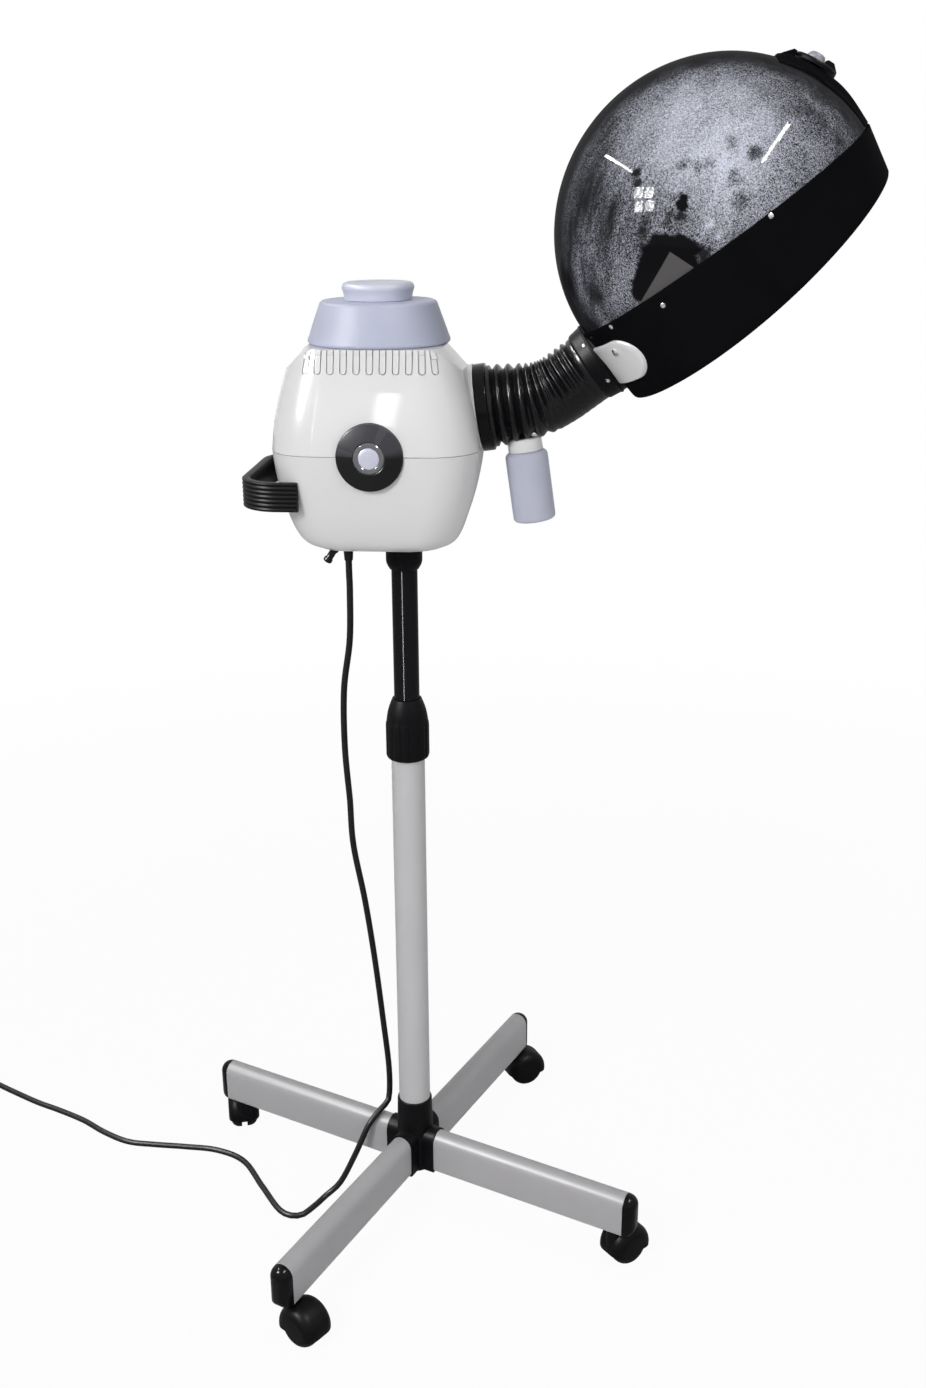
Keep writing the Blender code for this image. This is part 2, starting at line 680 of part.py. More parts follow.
def make_clamp():
    """Fluted twist grip over a split collet at the top of the lower pole."""
    count = GRIP_FLUTES * 3
    turns = [2 * pi * i / count for i in range(count)]

    def fluted(z):
        radii = [GRIP_RADIUS - (GRIP_FLUTE_DEPTH if i % 3 == 2 else 0.0) for i in range(count)]
        return [(r * cos(a), r * sin(a), z) for r, a in zip(radii, turns)]

    def plain(radius, z):
        return [(radius * cos(a), radius * sin(a), z) for a in turns]

    base = GRIP_RADIUS - GRIP_FLUTE_DEPTH
    step = 2 * GRIP_FLUTE_DEPTH
    rings = [plain(base, GRIP_BOTTOM_Z), fluted(GRIP_BOTTOM_Z + step), fluted(GRIP_SHOULDER_Z - step),
             plain(base, GRIP_SHOULDER_Z), plain(GRIP_TOP_RADIUS, GRIP_TOP_Z)]
    grip = loft("clamp_grip", rings, BLACK_MATT, STAND)
    collet_low = POLE_TOP_Z + GAP
    collet_high = collet_low + COLLET_LENGTH
    chamber = POLE_RADIUS + GAP
    throat = MAST_RADIUS + 2 * GAP
    step_z = collet_high + GAP
    bore = [(0, GRIP_TOP_Z + EPS), (throat, GRIP_TOP_Z + EPS), (throat, step_z), (chamber, step_z),
            (chamber, GRIP_BOTTOM_Z - EPS), (0, GRIP_BOTTOM_Z - EPS)]
    boolean(grip, revolve("grip_bore", bore, None, STAND, 20))
    sleeve = ring_profile(POLE_RADIUS, MAST_RADIUS + GAP, collet_low, collet_high)
    collet = revolve("clamp_collet", sleeve, NYLON, STAND, 20, True)
    boolean(collet, box("collet_slit", (0, -COLLET_SLIT / 2, collet_low - EPS),
                        (POLE_RADIUS + EPS, COLLET_SLIT / 2, collet_high + EPS), STAND))


def make_socket():
    top = FLOOR_Z - 2 * GAP
    bore = MAST_RADIUS + GAP
    profile = [(0, top), (SOCKET_RADIUS, top), (SOCKET_RADIUS, SOCKET_BOTTOM_Z + SOCKET_TAPER),
               (bore + 0.0012, SOCKET_BOTTOM_Z), (bore, SOCKET_BOTTOM_Z), (bore, MAST_TOP_Z + GAP),
               (0, MAST_TOP_Z + GAP)]
    revolve("pole_socket", profile, BLACK_MATT, HEAD, 20)


def make_lower_shell():
    """Tub of the body: a drawn-in outer skin over one deep cavity, with thick floor and rear corners."""
    rings = [body_ring(inset, PARTING_Z + rise) for rise, inset in LOWER_SIDE]
    shell = loft("lower_shell", rings, WHITE, BODY)
    half_x = BODY_HALF_LENGTH - BODY_WALL
    half_y = BODY_HALF_WIDTH - BODY_WALL
    corner = BODY_CORNER - BODY_WALL
    foot = LOWER_SIDE[2][1]
    pocket_x = HANDLE_END - BODY_WALL
    pocket_y = HANDLE_HALF_WIDTH - HANDLE_THICKNESS - BODY_WALL
    rear = [(-half_x + foot, pocket_y - corner), (-pocket_x, pocket_y)]
    plan = rear + [(0, half_y - foot)]
    plan += arc(half_x - foot - corner, half_y - foot - corner, corner, 90, 0, CORNER_STEPS)
    plan += [(x, -y) for x, y in reversed(plan)]
    depth = PARTING_Z + EPS - FLOOR_Z
    boolean(shell, prism("tub_cavity", [plan], depth, None, BODY, (0, 0, FLOOR_Z + depth / 2)))
    under = BODY_BOTTOM_Z - EPS
    boolean(shell, cylinder("socket_hole", SOCKET_RADIUS + GAP, under, FLOOR_Z + EPS, HEAD, steps=24))
    boolean(shell, bezel_hole("bezel_hole_low"))
    grip_z = HANDLE_HEIGHT / 2 + GAP
    for side in (-1, 1):
        near = side * (HANDLE_HALF_WIDTH - HANDLE_THICKNESS - GAP)
        far = side * (BODY_HALF_WIDTH + EPS)
        low = (-BODY_HALF_LENGTH - EPS, min(near, far), HANDLE_Z - grip_z)
        high = (-HANDLE_END + GAP, max(near, far), HANDLE_Z + grip_z)
        boolean(shell, box(f"handle_pocket_{side + 2}", low, high, BODY))
    inlet = BODY_BOTTOM_Z + INLET_DEPTH
    place = (BOOT_X, BOOT_Y, 0)
    boolean(shell, cylinder("boot_hole", BOOT_RADIUS + GAP, under, inlet, HEAD, place, steps=12))
    boolean(shell, cylinder("drain_hole", DRAIN_RADIUS + GAP, -EPS * 4, INLET_DEPTH, HEAD,
                            (DRAIN_X, DRAIN_Y, BODY_BOTTOM_Z), (0, radians(DRAIN_TILT), 0), 12))


def bezel_hole(name):
    return cylinder(name, BEZEL_RADIUS + GAP, BEZEL_BACK - 4 * EPS, BEZEL_FRONT, BODY, (0, 0, PARTING_Z),
                    FACING_FRONT, 28)


def make_upper_shell():
    """Lid of the body: the drawn-in sides are cut off by a cone round the tank's seat."""
    low = PARTING_Z + PARTING_GAP
    rings = [body_ring(inset, low + rise) for rise, inset in UPPER_SIDE]
    rings.append(body_ring(UPPER_SIDE[-1][1] + EPS, SHOULDER_Z + 4 * EPS))
    shell = loft("upper_shell", rings, WHITE, BODY)
    reach = BODY_HALF_LENGTH + BODY_HALF_WIDTH
    brim = BODY_HALF_LENGTH + BODY_CORNER
    edge = SHOULDER_Z - SHOULDER_SLOPE * (brim - SHOULDER_RADIUS)
    crown = [(0, SHOULDER_Z), (SHOULDER_RADIUS, SHOULDER_Z), (brim, edge), (reach, edge), (reach, low - EPS),
             (0, low - EPS)]
    boolean(shell, revolve("shoulder_cone", crown, None, BODY, 36), "INTERSECT")
    boss = cylinder("port_boss", FLANGE_RADIUS + FIT, -4 * BODY_WALL, 0, PORT, rotation=ALONG_X, steps=28)
    boolean(boss, box("boss_trim", (0, -BODY_HALF_WIDTH, BODY_BOTTOM_Z), (reach, BODY_HALF_WIDTH, low), BODY))
    boolean(shell, boss, "UNION")
    cavity = [body_ring(inset, low + rise, BODY_WALL) for rise, inset in UPPER_SIDE if low + rise < CEILING_Z]
    cavity.insert(0, body_ring(0, low - EPS, BODY_WALL))
    cavity.append(body_ring(side_inset(CEILING_Z), CEILING_Z, BODY_WALL))
    boolean(shell, loft("lid_cavity", cavity, None, BODY))
    seat = TANK_SEAT_Z - GAP
    through = 4 * BODY_WALL
    boolean(shell, cylinder("tank_seat", TANK_SEAT_RADIUS + FIT, seat, SHOULDER_Z + EPS, BODY, steps=28))
    boolean(shell, cylinder("spout_hole", SPOUT_RADIUS + FIT, CEILING_Z - EPS, SHOULDER_Z, BODY, steps=16))
    boolean(shell, cylinder("duct_hole", DUCT_RADIUS + GAP, -6 * BODY_WALL, EPS, PORT, rotation=ALONG_X,
                            steps=24))
    boolean(shell, bezel_hole("bezel_hole_high"))
    boolean(shell, cylinder("lamp_hole", LAMP_RADIUS + GAP, -through, through, BODY, lamp_place(),
                            lamp_turn(), 10))
    for side in (-1, 1):
        boolean(shell, make_vents(side))


def make_vents(side):
    """One row of vent slots, let into the sloping side where it meets the shoulder."""
    z_top = SHOULDER_Z + EPS
    lean = atan2(UPPER_SIDE[4][1] - UPPER_SIDE[3][1], UPPER_SIDE[4][0] - UPPER_SIDE[3][0])
    face = BODY_HALF_WIDTH - side_inset(VENT_BOTTOM_Z)
    height = (z_top - VENT_BOTTOM_Z) / cos(lean)
    outline = [(VENT_WIDTH / 2, height), (-VENT_WIDTH / 2, height)]
    outline += arc(0, VENT_WIDTH / 2, VENT_WIDTH / 2, 180, 360, 2)
    slots = []
    for k in range(VENT_COUNT):
        shift = VENT_PITCH * (k - (VENT_COUNT - 1) / 2)
        slots.append([(x + shift, y) for x, y in outline])
    turn = (radians(90) + side * -lean, 0, 0)
    place = (0, side * face, VENT_BOTTOM_Z)
    return prism(f"vent_row_{side + 2}", slots, 2 * VENT_DEPTH, None, BODY, place, turn)


def make_handle():
    """Pull strap bent round the back of the tub, with grooves along its outer face."""
    rise = HANDLE_HEIGHT / 2
    pitch = HANDLE_HEIGHT / (HANDLE_GROOVES + 1)
    section = [(HANDLE_THICKNESS, -rise), (HANDLE_THICKNESS, rise), (0.0, rise)]
    for k in reversed(range(HANDLE_GROOVES)):
        level = pitch * (k + 1) - rise
        section += [(0.0, level + 0.2 * pitch), (HANDLE_GROOVE_DEPTH, level), (0.0, level - 0.2 * pitch)]
    section.append((0.0, -rise))
    rings = [[(x, y, z) for x, y, z in ring] for ring in zip(*[strap_line(depth, z) for depth, z in section])]
    loft("handle", rings, BLACK_MATT, BODY, location=(0, 0, HANDLE_Z))


def strap_line(inset, z):
    """One line along the strap, drawn in by an inset from its outer face."""
    half = HANDLE_HALF_WIDTH - inset
    back = -HANDLE_REACH + inset
    corner = HANDLE_CORNER - inset
    points = [(-HANDLE_END, half)]
    points += arc(back + corner, half - corner, corner, 90, 180, 5)
    points += arc(back + corner, -half + corner, corner, 180, 270, 5)
    points.append((-HANDLE_END, -half))
    return [(x, y, z) for x, y in points]


def make_controls():
    """Coned bezel across the parting line, with a clear ring and a push button at its middle."""
    place = (0, 0, PARTING_Z)
    bezel = [(RING_RADIUS + GAP, RING_FRONT), (BEZEL_RADIUS - EPS / 2, BEZEL_FRONT),
             (BEZEL_RADIUS, BEZEL_FRONT - EPS / 2), (BEZEL_RADIUS, BEZEL_BACK),
             (RING_RADIUS + GAP, BEZEL_BACK)]
    revolve("control_bezel", bezel, BLACK_GLOSS, BODY, 28, True, place, FACING_FRONT)
    bore = BUTTON_RADIUS + GAP
    ring = [(RING_RADIUS - EPS / 2, RING_FRONT + GAP), (RING_RADIUS, RING_FRONT - EPS / 4),
            (RING_RADIUS, BEZEL_BACK), (bore, BEZEL_BACK), (bore, RING_FRONT + GAP)]
    revolve("button_ring", ring, CLEAR, BODY, 18, True, place, FACING_FRONT)
    front = RING_FRONT + EPS / 2
    back = BEZEL_BACK + BUTTON_TRAVEL + FIT
    tip = BEZEL_BACK + GAP
    button = [(0, front), (BUTTON_RADIUS * 0.8, front - EPS / 8), (BUTTON_RADIUS, front - EPS / 2),
              (BUTTON_RADIUS, back), (BUTTON_STEM_RADIUS, back), (BUTTON_STEM_RADIUS, tip), (0, tip)]
    revolve("power_button", button, LILAC, BODY, 18, location=place, rotation=FACING_FRONT)
    side = SWITCH_HALF_WIDTH
    low, high = (-side, -BEZEL_BACK + GAP, -side), (side, -BEZEL_BACK + SWITCH_DEPTH, side)
    block = box("switch_block", low, high, BODY, place, material=BLACK_MATT)
    end = BEZEL_BACK - BUTTON_TRAVEL - FIT
    boolean(block, cylinder("switch_well", BUTTON_STEM_RADIUS + GAP, end, BEZEL_BACK, BODY, place,
                            FACING_FRONT, 12))


def lamp_place():
    return (-BODY_HALF_LENGTH + side_inset(LAMP_Z), 0, LAMP_Z)


def lamp_turn():
    """Points the lamp square out of the sloping rear face."""
    lean = atan2(UPPER_SIDE[1][1] - UPPER_SIDE[0][1], UPPER_SIDE[1][0] - UPPER_SIDE[0][0])
    return (0, -radians(90) + lean, 0)


def make_lamp():
    dome = [(LAMP_RADIUS * sin(a), LAMP_PROUD - LAMP_RADIUS * (1 - cos(a))) for a in
            (radians(90 * i / 4) for i in range(5))]
    lip = LAMP_RADIUS + 0.0012
    seat = 2 * GAP
    brim = seat + 0.0014
    back = -2 * BODY_WALL
    profile = dome + [(LAMP_RADIUS, brim), (lip, brim), (lip, seat), (LAMP_RADIUS, seat), (LAMP_RADIUS, back),
                      (0, back)]
    revolve("pilot_lamp", profile, CLEAR, BODY, 10, location=lamp_place(), rotation=lamp_turn())


def make_tank():
    """Lift-off water tank: one moulded skin from its screw neck down to its spout."""
    seat = SHOULDER_Z + GAP
    base = TANK_SEAT_Z
    neck_top = TANK_TOP_Z + TANK_NECK_HEIGHT
    tip = base - SPOUT_LENGTH
    w = TANK_WALL
    outer = [(TANK_NECK_RADIUS, neck_top), (TANK_NECK_RADIUS, TANK_TOP_Z)]
    outer += arc(TANK_TOP_RADIUS - 0.005, TANK_TOP_Z - 0.005, 0.005, 90, 20, 2)
    outer += [(TANK_BOTTOM_RADIUS, seat + 0.0025), (TANK_BOTTOM_RADIUS - 0.0020, seat),
              (TANK_SEAT_RADIUS, seat), (TANK_SEAT_RADIUS, base), (SPOUT_RADIUS, base), (SPOUT_RADIUS, tip)]
    inner = [(SPOUT_RADIUS - w, tip), (SPOUT_RADIUS - w, base + w), (TANK_SEAT_RADIUS - w, base + w),
             (TANK_SEAT_RADIUS - w, seat + w), (TANK_BOTTOM_RADIUS - 2.2 * w, seat + w),
             (TANK_TOP_RADIUS - 1.6 * w, TANK_TOP_Z - 1.6 * w),
             (TANK_NECK_RADIUS - w, TANK_TOP_Z - w), (TANK_NECK_RADIUS - w, neck_top)]
    revolve("water_tank", outer + inner, MILKY, BODY, TANK_STEPS, True)
    low = TANK_TOP_Z + GAP
    high = low + CAP_HEIGHT
    thread = (TANK_NECK_RADIUS + GAP) / cos(pi / TANK_STEPS)
    cap = [(0, high), (CAP_RADIUS - 0.005, high)]
    cap += arc(CAP_RADIUS - 0.005, high - 0.005, 0.005, 60, -30, 3)
    cap += [(CAP_RADIUS - 0.0026, low), (thread, low), (thread, high - CAP_WALL), (0, high - CAP_WALL)]
    revolve("tank_cap", cap, MILKY, BODY, TANK_STEPS)


def make_boiler():
    """Boiler pot on the tub's floor with its heater band, lid and feed cup, and the riser to the outlet."""
    low = FLOOR_Z + GAP
    high = low + BOILER_HEIGHT
    inner = BOILER_RADIUS - BOILER_WALL
    pot = [(BOILER_RADIUS, high), (BOILER_RADIUS, low), (0, low), (0, low + BOILER_WALL),
           (inner, low + BOILER_WALL), (inner, high)]
    revolve("boiler_pot", pot, STEEL, BODY, BOILER_STEPS, True)
    band = ring_profile(BOILER_RADIUS + GAP + HEATER_THICKNESS, BOILER_RADIUS + GAP, low, low + HEATER_HEIGHT)
    revolve("heater_band", band, STEEL, BODY, BOILER_STEPS, True)
    lid_top = LID_Z + LID_THICKNESS
    rim = BOILER_RADIUS + LID_OVERHANG
    cup_in = FEED_RADIUS - FEED_WALL
    stem_in = FEED_STEM_RADIUS - FEED_WALL
    lid = [(FEED_RADIUS, FEED_TOP_Z), (FEED_RADIUS, FEED_FLOOR_Z), (FEED_STEM_RADIUS, FEED_FLOOR_Z),
           (FEED_STEM_RADIUS, lid_top), (rim, lid_top), (rim, LID_Z), (stem_in, LID_Z),
           (stem_in, FEED_FLOOR_Z + FEED_WALL), (cup_in, FEED_FLOOR_Z + FEED_WALL), (cup_in, FEED_TOP_Z)]
    cover = revolve("boiler_lid", lid, STEEL, BODY, BOILER_STEPS, True)
    place = (RISER_X, 0, 0)
    hole = cylinder("riser_hole", RISER_RADIUS + GAP, LID_Z - EPS, lid_top + EPS, BODY, place, steps=14)
    boolean(cover, hole)
    make_riser()


def make_riser():
    back = PORT_X - (DUCT_BACK - 2 * GAP) * cos(radians(PORT_TILT))
    level = PORT_Z - DUCT_BACK * sin(radians(PORT_TILT))
    start = LID_Z + GAP
    lead = 0.012
    turn = level - start - lead
    path = [(RISER_X, 0, start), (RISER_X, 0, start + lead * 0.5)]
    path += [(RISER_X + turn - turn * cos(a), 0, level - turn + turn * sin(a)) for a in
             (radians(90 * i / 4) for i in range(5))]
    path.append((back, 0, level))
    riser = tube("steam_riser", path, RISER_RADIUS, STEEL, BODY, 2)
    first = Vector(path[0]) - UP * EPS
    last = Vector(path[-1]) + Vector((EPS, 0, 0))
    boolean(riser, tube("riser_bore", [tuple(first)] + path[1:-1] + [tuple(last)], RISER_BORE, None, BODY, 2))


def ear(name, reach, start, y, parent):
    """A hinge ear: a strap from the duct's end, rounded about the pin."""
    side = 1 if reach > start else -1
    outline = [(start, EAR_HALF_WIDTH), (start, -EAR_HALF_WIDTH)]
    outline += arc(reach, 0, EAR_HALF_WIDTH, -90, -90 + 180 * side, 4)
    return prism(name, [outline], EAR_THICKNESS, None, parent, (0, y, 0), FACING_FRONT)


def pin_bore(name, parent, x):
    return cylinder(name, PIN_RADIUS + GAP, -2 * PIN_HALF, 2 * PIN_HALF, parent, (x, 0, 0), FACING_FRONT, 12)


def make_outlet_duct():
    """Flanged steam outlet with the hinge fork on its end and the drip tube under it."""
    inner = DUCT_RADIUS - DUCT_WALL
    sleeve = RISER_RADIUS + 2 * GAP
    back = -DUCT_BACK
    profile = [(inner, DUCT_END), (DUCT_RADIUS, DUCT_END), (DUCT_RADIUS, FLANGE_LENGTH),
               (FLANGE_RADIUS - 0.001, FLANGE_LENGTH), (FLANGE_RADIUS, FLANGE_LENGTH - 0.001),
               (FLANGE_RADIUS, GAP), (DUCT_RADIUS, GAP), (DUCT_RADIUS, back), (sleeve, back),
               (sleeve, back + DUCT_WALL), (inner, back + DUCT_WALL)]
    duct = revolve("outlet_duct", profile, BLACK_GLOSS, PORT, 20, True, rotation=ALONG_X)
    for side in (-1, 1):
        y = side * (OUTER_EAR_Y + EAR_THICKNESS / 2)
        boolean(duct, ear(f"outlet_ear_{side + 2}", HINGE_S, DUCT_END - EAR_HALF_WIDTH, y, PORT), "UNION")
    boolean(duct, pin_bore("outlet_pin_bore", PORT, HINGE_S))
    low = -DUCT_RADIUS - DRIP_TUBE_LENGTH + EPS
    high = -inner - DUCT_WALL / 2
    place = (DRIP_S, 0, 0)
    boolean(duct, cylinder("drip_tube", DRIP_TUBE_RADIUS, low, high, PORT, place, steps=10), "UNION")
    boolean(duct, cylinder("drip_bore", DRIP_TUBE_BORE, low - EPS, -inner + 2 * EPS, PORT, place, steps=10))
    pin = [(0, PIN_HALF), (PIN_RADIUS, PIN_HALF), (PIN_RADIUS, -PIN_HALF), (0, -PIN_HALF)]
    revolve("hinge_pin", pin, STEEL, PORT, 12, location=(HINGE_S, 0, 0), rotation=FACING_FRONT)


def make_drip_bottle():
    top = -DRIP_CAP_TOP
    plate = top - DRIP_CAP_PLATE
    low = top - DRIP_CAP_HEIGHT
    place = (DRIP_S, 0, 0)
    thread = BOTTLE_NECK_RADIUS + FIT
    tube_hole = DRIP_TUBE_RADIUS + GAP
    cap = [(tube_hole, top), (DRIP_CAP_RADIUS - 0.0015, top), (DRIP_CAP_RADIUS, top - 0.0015),
           (DRIP_CAP_RADIUS, low), (thread, low), (thread, plate), (tube_hole, plate)]
    revolve("drip_cap", cap, WHITE, PORT, BOTTLE_STEPS, True, place)
    rim = low - GAP
    foot = rim - BOTTLE_HEIGHT
    neck_top = low + BOTTLE_NECK_HEIGHT
    w = BOTTLE_WALL
    mouth = BOTTLE_NECK_RADIUS - w
    bottle = [(mouth, neck_top), (BOTTLE_NECK_RADIUS, neck_top), (BOTTLE_NECK_RADIUS, rim)]
    bottle += arc(BOTTLE_RADIUS - 0.006, rim - 0.006, 0.006, 90, 0, 3)
    bottle += arc(BOTTLE_RADIUS - 0.004, foot + 0.004, 0.004, 0, -90, 2)
    bottle += [(0, foot), (0, foot + w), (BOTTLE_RADIUS - 0.005, foot + w), (BOTTLE_RADIUS - w, foot + 0.005),
               (BOTTLE_RADIUS - w, rim - 0.0065), (BOTTLE_RADIUS - 0.0065, rim - w), (mouth, rim - w)]
    revolve("drip_bottle", bottle, MILKY, PORT, BOTTLE_STEPS, True, place)


def bellows_path(distance):
    """A point along the bellows' middle line, in the port frame."""
    start = FLANGE_LENGTH + GAP
    bend = radians(BEND)
    radius = BEND_LEAD / tan(bend / 2)
    first = HINGE_S - BEND_LEAD - start
    if distance <= first:
        return (start + distance, 0, 0)
    swept = min((distance - first) / radius, bend)
    x = HINGE_S - BEND_LEAD + radius * sin(swept)
    z = radius * (1 - cos(swept))
    rest = max(0.0, distance - first - radius * bend)
    return (x + rest * cos(bend), 0, z + rest * sin(bend))


def bellows_length():
    bend = radians(BEND)
    first = HINGE_S - BEND_LEAD - FLANGE_LENGTH - GAP
    return first + BEND_LEAD / tan(bend / 2) * bend + COLLAR_START - GAP - BEND_LEAD


def make_bellows():
    """Ribbed rubber hose: a crest and a valley for each rib, with a plain bore cut out."""
    length = bellows_length()
    cuff = length / BELLOWS_RIBS / 3
    pitch = (length - 2 * cuff) / BELLOWS_RIBS

    def crest(distance):
        share = min(1.0, distance / (0.62 * length))
        return BELLOWS_START_RADIUS + (BELLOWS_END_RADIUS - BELLOWS_START_RADIUS) * share

    stops = [(0.0, crest(0) - RIB_DEPTH / 2), (cuff, crest(0) - RIB_DEPTH)]
    for k in range(BELLOWS_RIBS):
        middle = cuff + pitch * (k + 0.5)
        after = cuff + pitch * (k + 1)
        stops += [(middle, crest(middle)), (after, crest(after) - RIB_DEPTH)]
    stops.append((length, crest(length) - RIB_DEPTH / 2))
    points = [bellows_path(d) for d, _ in stops]
    hose = tube("bellows", points, [r for _, r in stops], RUBBER, PORT, 5)
    marks = [length * i / 8 for i in range(9)]
    bore = [(crest(d) - RIB_DEPTH) * cos(pi / 14) - BELLOWS_WALL for d in marks]
    line = [bellows_path(d) for d in marks]
    line[0] = (line[0][0] - EPS, 0, 0)
    bend = radians(BEND)
    line[-1] = (line[-1][0] + EPS * cos(bend), 0, line[-1][2] + EPS * sin(bend))
    boolean(hose, tube("bellows_bore", line, bore, None, PORT, 4))
    low = -BELLOWS_START_RADIUS - EPS
    boolean(hose, cylinder("bellows_hole", BELLOWS_HOLE, low, -DUCT_RADIUS, PORT, (DRIP_S, 0, 0), steps=24))


def make_neck():
    """Rigid neck of the hood, hinged on the outlet's pin, with the collar that holds the bellows."""
    profile = ring_profile(NECK_RADIUS, NECK_BORE, NECK_START, NECK_END)
    neck = revolve("neck_duct", profile, BLACK_GLOSS, HINGE, 20, True, rotation=ALONG_X)
    for side in (-1, 1):
        y = side * (INNER_EAR_Y + EAR_THICKNESS / 2)
        boolean(neck, ear(f"neck_ear_{side + 2}", 0, NECK_START + EAR_HALF_WIDTH, y, HINGE), "UNION")
    boolean(neck, pin_bore("neck_pin_bore", HINGE, 0))
    end = COLLAR_START + COLLAR_LENGTH
    bore = NECK_RADIUS + GAP
    lip = COLLAR_RADIUS - 0.0012
    collar = [(bore, end), (lip, end), (COLLAR_RADIUS, end - 0.0012), (COLLAR_RADIUS, COLLAR_START + 0.0012),
              (lip, COLLAR_START), (bore, COLLAR_START)]
    revolve("hose_collar", collar, BLACK_GLOSS, HINGE, 20, True, rotation=ALONG_X)


def skirt_depth(u):
    return SKIRT_MID_DEPTH - SKIRT_SLOPE * u - SKIRT_BOW * u * u


def skirt_rings(wall_out, wall_in, tops, shares):
    """Closed loops round the skirt's wall, outer side down and inner side up."""
    turns = [2 * pi * i / SKIRT_STEPS for i in range(SKIRT_STEPS)]

    def ring(share, offset, radius=None):
        points = []
        for a in turns:
            depth = skirt_depth(SKIRT_RADIUS * cos(a))
            r = radius if radius else SKIRT_RADIUS - SKIRT_DRAFT * share + offset
            drop = max(depth * share, tops) if share > 0 else tops
            points.append((r * cos(a), r * sin(a), -drop))
        return points

    rings = [ring(share, wall_out) for share in shares]
    rings += [ring(share, wall_in) for share in reversed(shares)]
    return rings, ring


def make_skirt():
    """Hood skirt: a drafted wall, deepest at the back, with a ledge inside that carries the dome."""
    shares = (0.0, 0.5, 0.92, 1.0)
    rings, ring = skirt_rings(0.0, -2 * SKIRT_WALL, 0.0, shares)
    rim = rings[4]
    rings[3] = [(x * 0.988, y * 0.988, z) for x, y, z in rings[3]]
    rings[4] = [(x * 0.994, y * 0.994, z) for x, y, z in rim]
    seat = DOME_RADIUS + GAP
    ledge = DOME_TUCK + GAP
    rings[-1] = [(x, y, -ledge) for x, y, _ in ring(0.0, 0.0, SKIRT_RADIUS - 2 * SKIRT_WALL - EPS)]
    rings.append([(x, y, -ledge) for x, y, _ in ring(0.0, 0.0, seat)])
    rings.append([(x, y, 0) for x, y, _ in ring(0.0, 0.0, seat)])
    skirt = loft("hood_skirt", rings, BLACK_GLOSS, HOOD, wrap=True)
    boolean(skirt, neck_hole("skirt_neck_hole"))


def neck_hole(name):
    return cylinder(name, NECK_RADIUS + GAP, COLLAR_START, NECK_END + EPS * 4, HINGE, rotation=ALONG_X,
                    steps=24)


def make_saddle():
    """White saddle plate wrapped round the back of the skirt, with tongue-shaped ends."""
    wall_out = SADDLE_THICKNESS + 2 * GAP
    rings, _ = skirt_rings(wall_out, 2 * GAP, 0.0, (0.05, 0.5, 0.95))
    plate = loft("neck_saddle", rings, WHITE, HOOD, wrap=True)
    flat = SADDLE_HALF_LENGTH - SADDLE_HALF_HEIGHT
    outline = arc(flat, 0, SADDLE_HALF_HEIGHT, -90, 90, 8) + arc(-flat, 0, SADDLE_HALF_HEIGHT, 90, 270, 8)
    reach = SKIRT_RADIUS + wall_out
    keep = prism("saddle_outline", [outline], reach, None, HOOD, (-reach / 2 - 4 * EPS, 0, -SADDLE_DROP),
                 (radians(90), 0, radians(90)))
    boolean(plate, keep, "INTERSECT")
    boolean(plate, neck_hole("saddle_neck_hole"))


def make_dome():
    """Smoke dome: a half globe with a short straight rim that tucks into the skirt."""
    small = DOME_RADIUS - DOME_WALL
    profile = arc(0, 0, DOME_RADIUS, 90, 0, 8) + [(DOME_RADIUS, -DOME_TUCK), (small, -DOME_TUCK)]
    profile += arc(0, 0, small, 0, 90, 6)
    profile[0], profile[-1] = (0, DOME_RADIUS), (0, small)
    revolve("hood_dome", profile, SMOKE, HOOD, SKIRT_STEPS)


def make_nozzle():
    """Steam spreader inside the hood: an elbow that carries the neck's steam up under the dome."""
    start = NECK_END + GAP
    turn = NOZZLE_REACH * 0.72
    path = [(start, 0, 0), (start + NOZZLE_REACH - turn, 0, 0)]
    path += [(start + NOZZLE_REACH - turn + turn * sin(a), 0, turn * (1 - cos(a))) for a in
             (radians(90 * i / 6) for i in range(1, 7))]
    path.append((start + NOZZLE_REACH, 0, NOZZLE_RISE))
    flare = [NOZZLE_RADIUS * (1 + 0.25 * i / (len(path) - 1)) for i in range(len(path))]
    nozzle = tube("steam_nozzle", path, flare, BLACK_MATT, HINGE, 2)
    bore = [r - NOZZLE_WALL for r in flare]
    inside = [(start - EPS, 0, 0)] + path[1:-1] + [(path[-1][0], 0, NOZZLE_RISE + EPS)]
    boolean(nozzle, tube("nozzle_bore", inside, bore, None, HINGE, 2))


def make_spine():
    """Front strip that follows the dome up from the skirt and carries the vent dial."""
    inner = DOME_RADIUS + GAP
    outer = DOME_RADIUS + SPINE_THICKNESS
    steps = 5
    span = asin(SPINE_HALF_WIDTH / inner)
    across = [span * (2 * i / steps - 1) for i in range(steps + 1)]
    profile = [(inner * cos(a), inner * sin(a)) for a in across]
    profile += [(outer * cos(a * 0.9), outer * sin(a * 0.9)) for a in reversed(across)]
    count = 7
    rings = []
    for i in range(count + 1):
        turn = radians(SPINE_START + (SPINE_END - SPINE_START) * i / count)
        thin = 0.35 if i == count else 1.0
        ring = []
        for r, y in profile:
            reach = sqrt(r * r + y * y)
            scale = (inner + (reach - inner) * thin) / reach
            ring.append((r * scale * cos(turn), y * scale, r * scale * sin(turn)))
        rings.append(ring)
    spine = loft("vent_spine", rings, BLACK_GLOSS, HOOD)
    boolean(spine, cylinder("spindle_hole", VENT_SPINDLE_RADIUS + GAP, inner - EPS, outer + EPS, HOOD,
                            rotation=dial_turn(), steps=10))


def dial_turn():
    return (0, radians(90 - VENT_DIAL_ANGLE), 0)


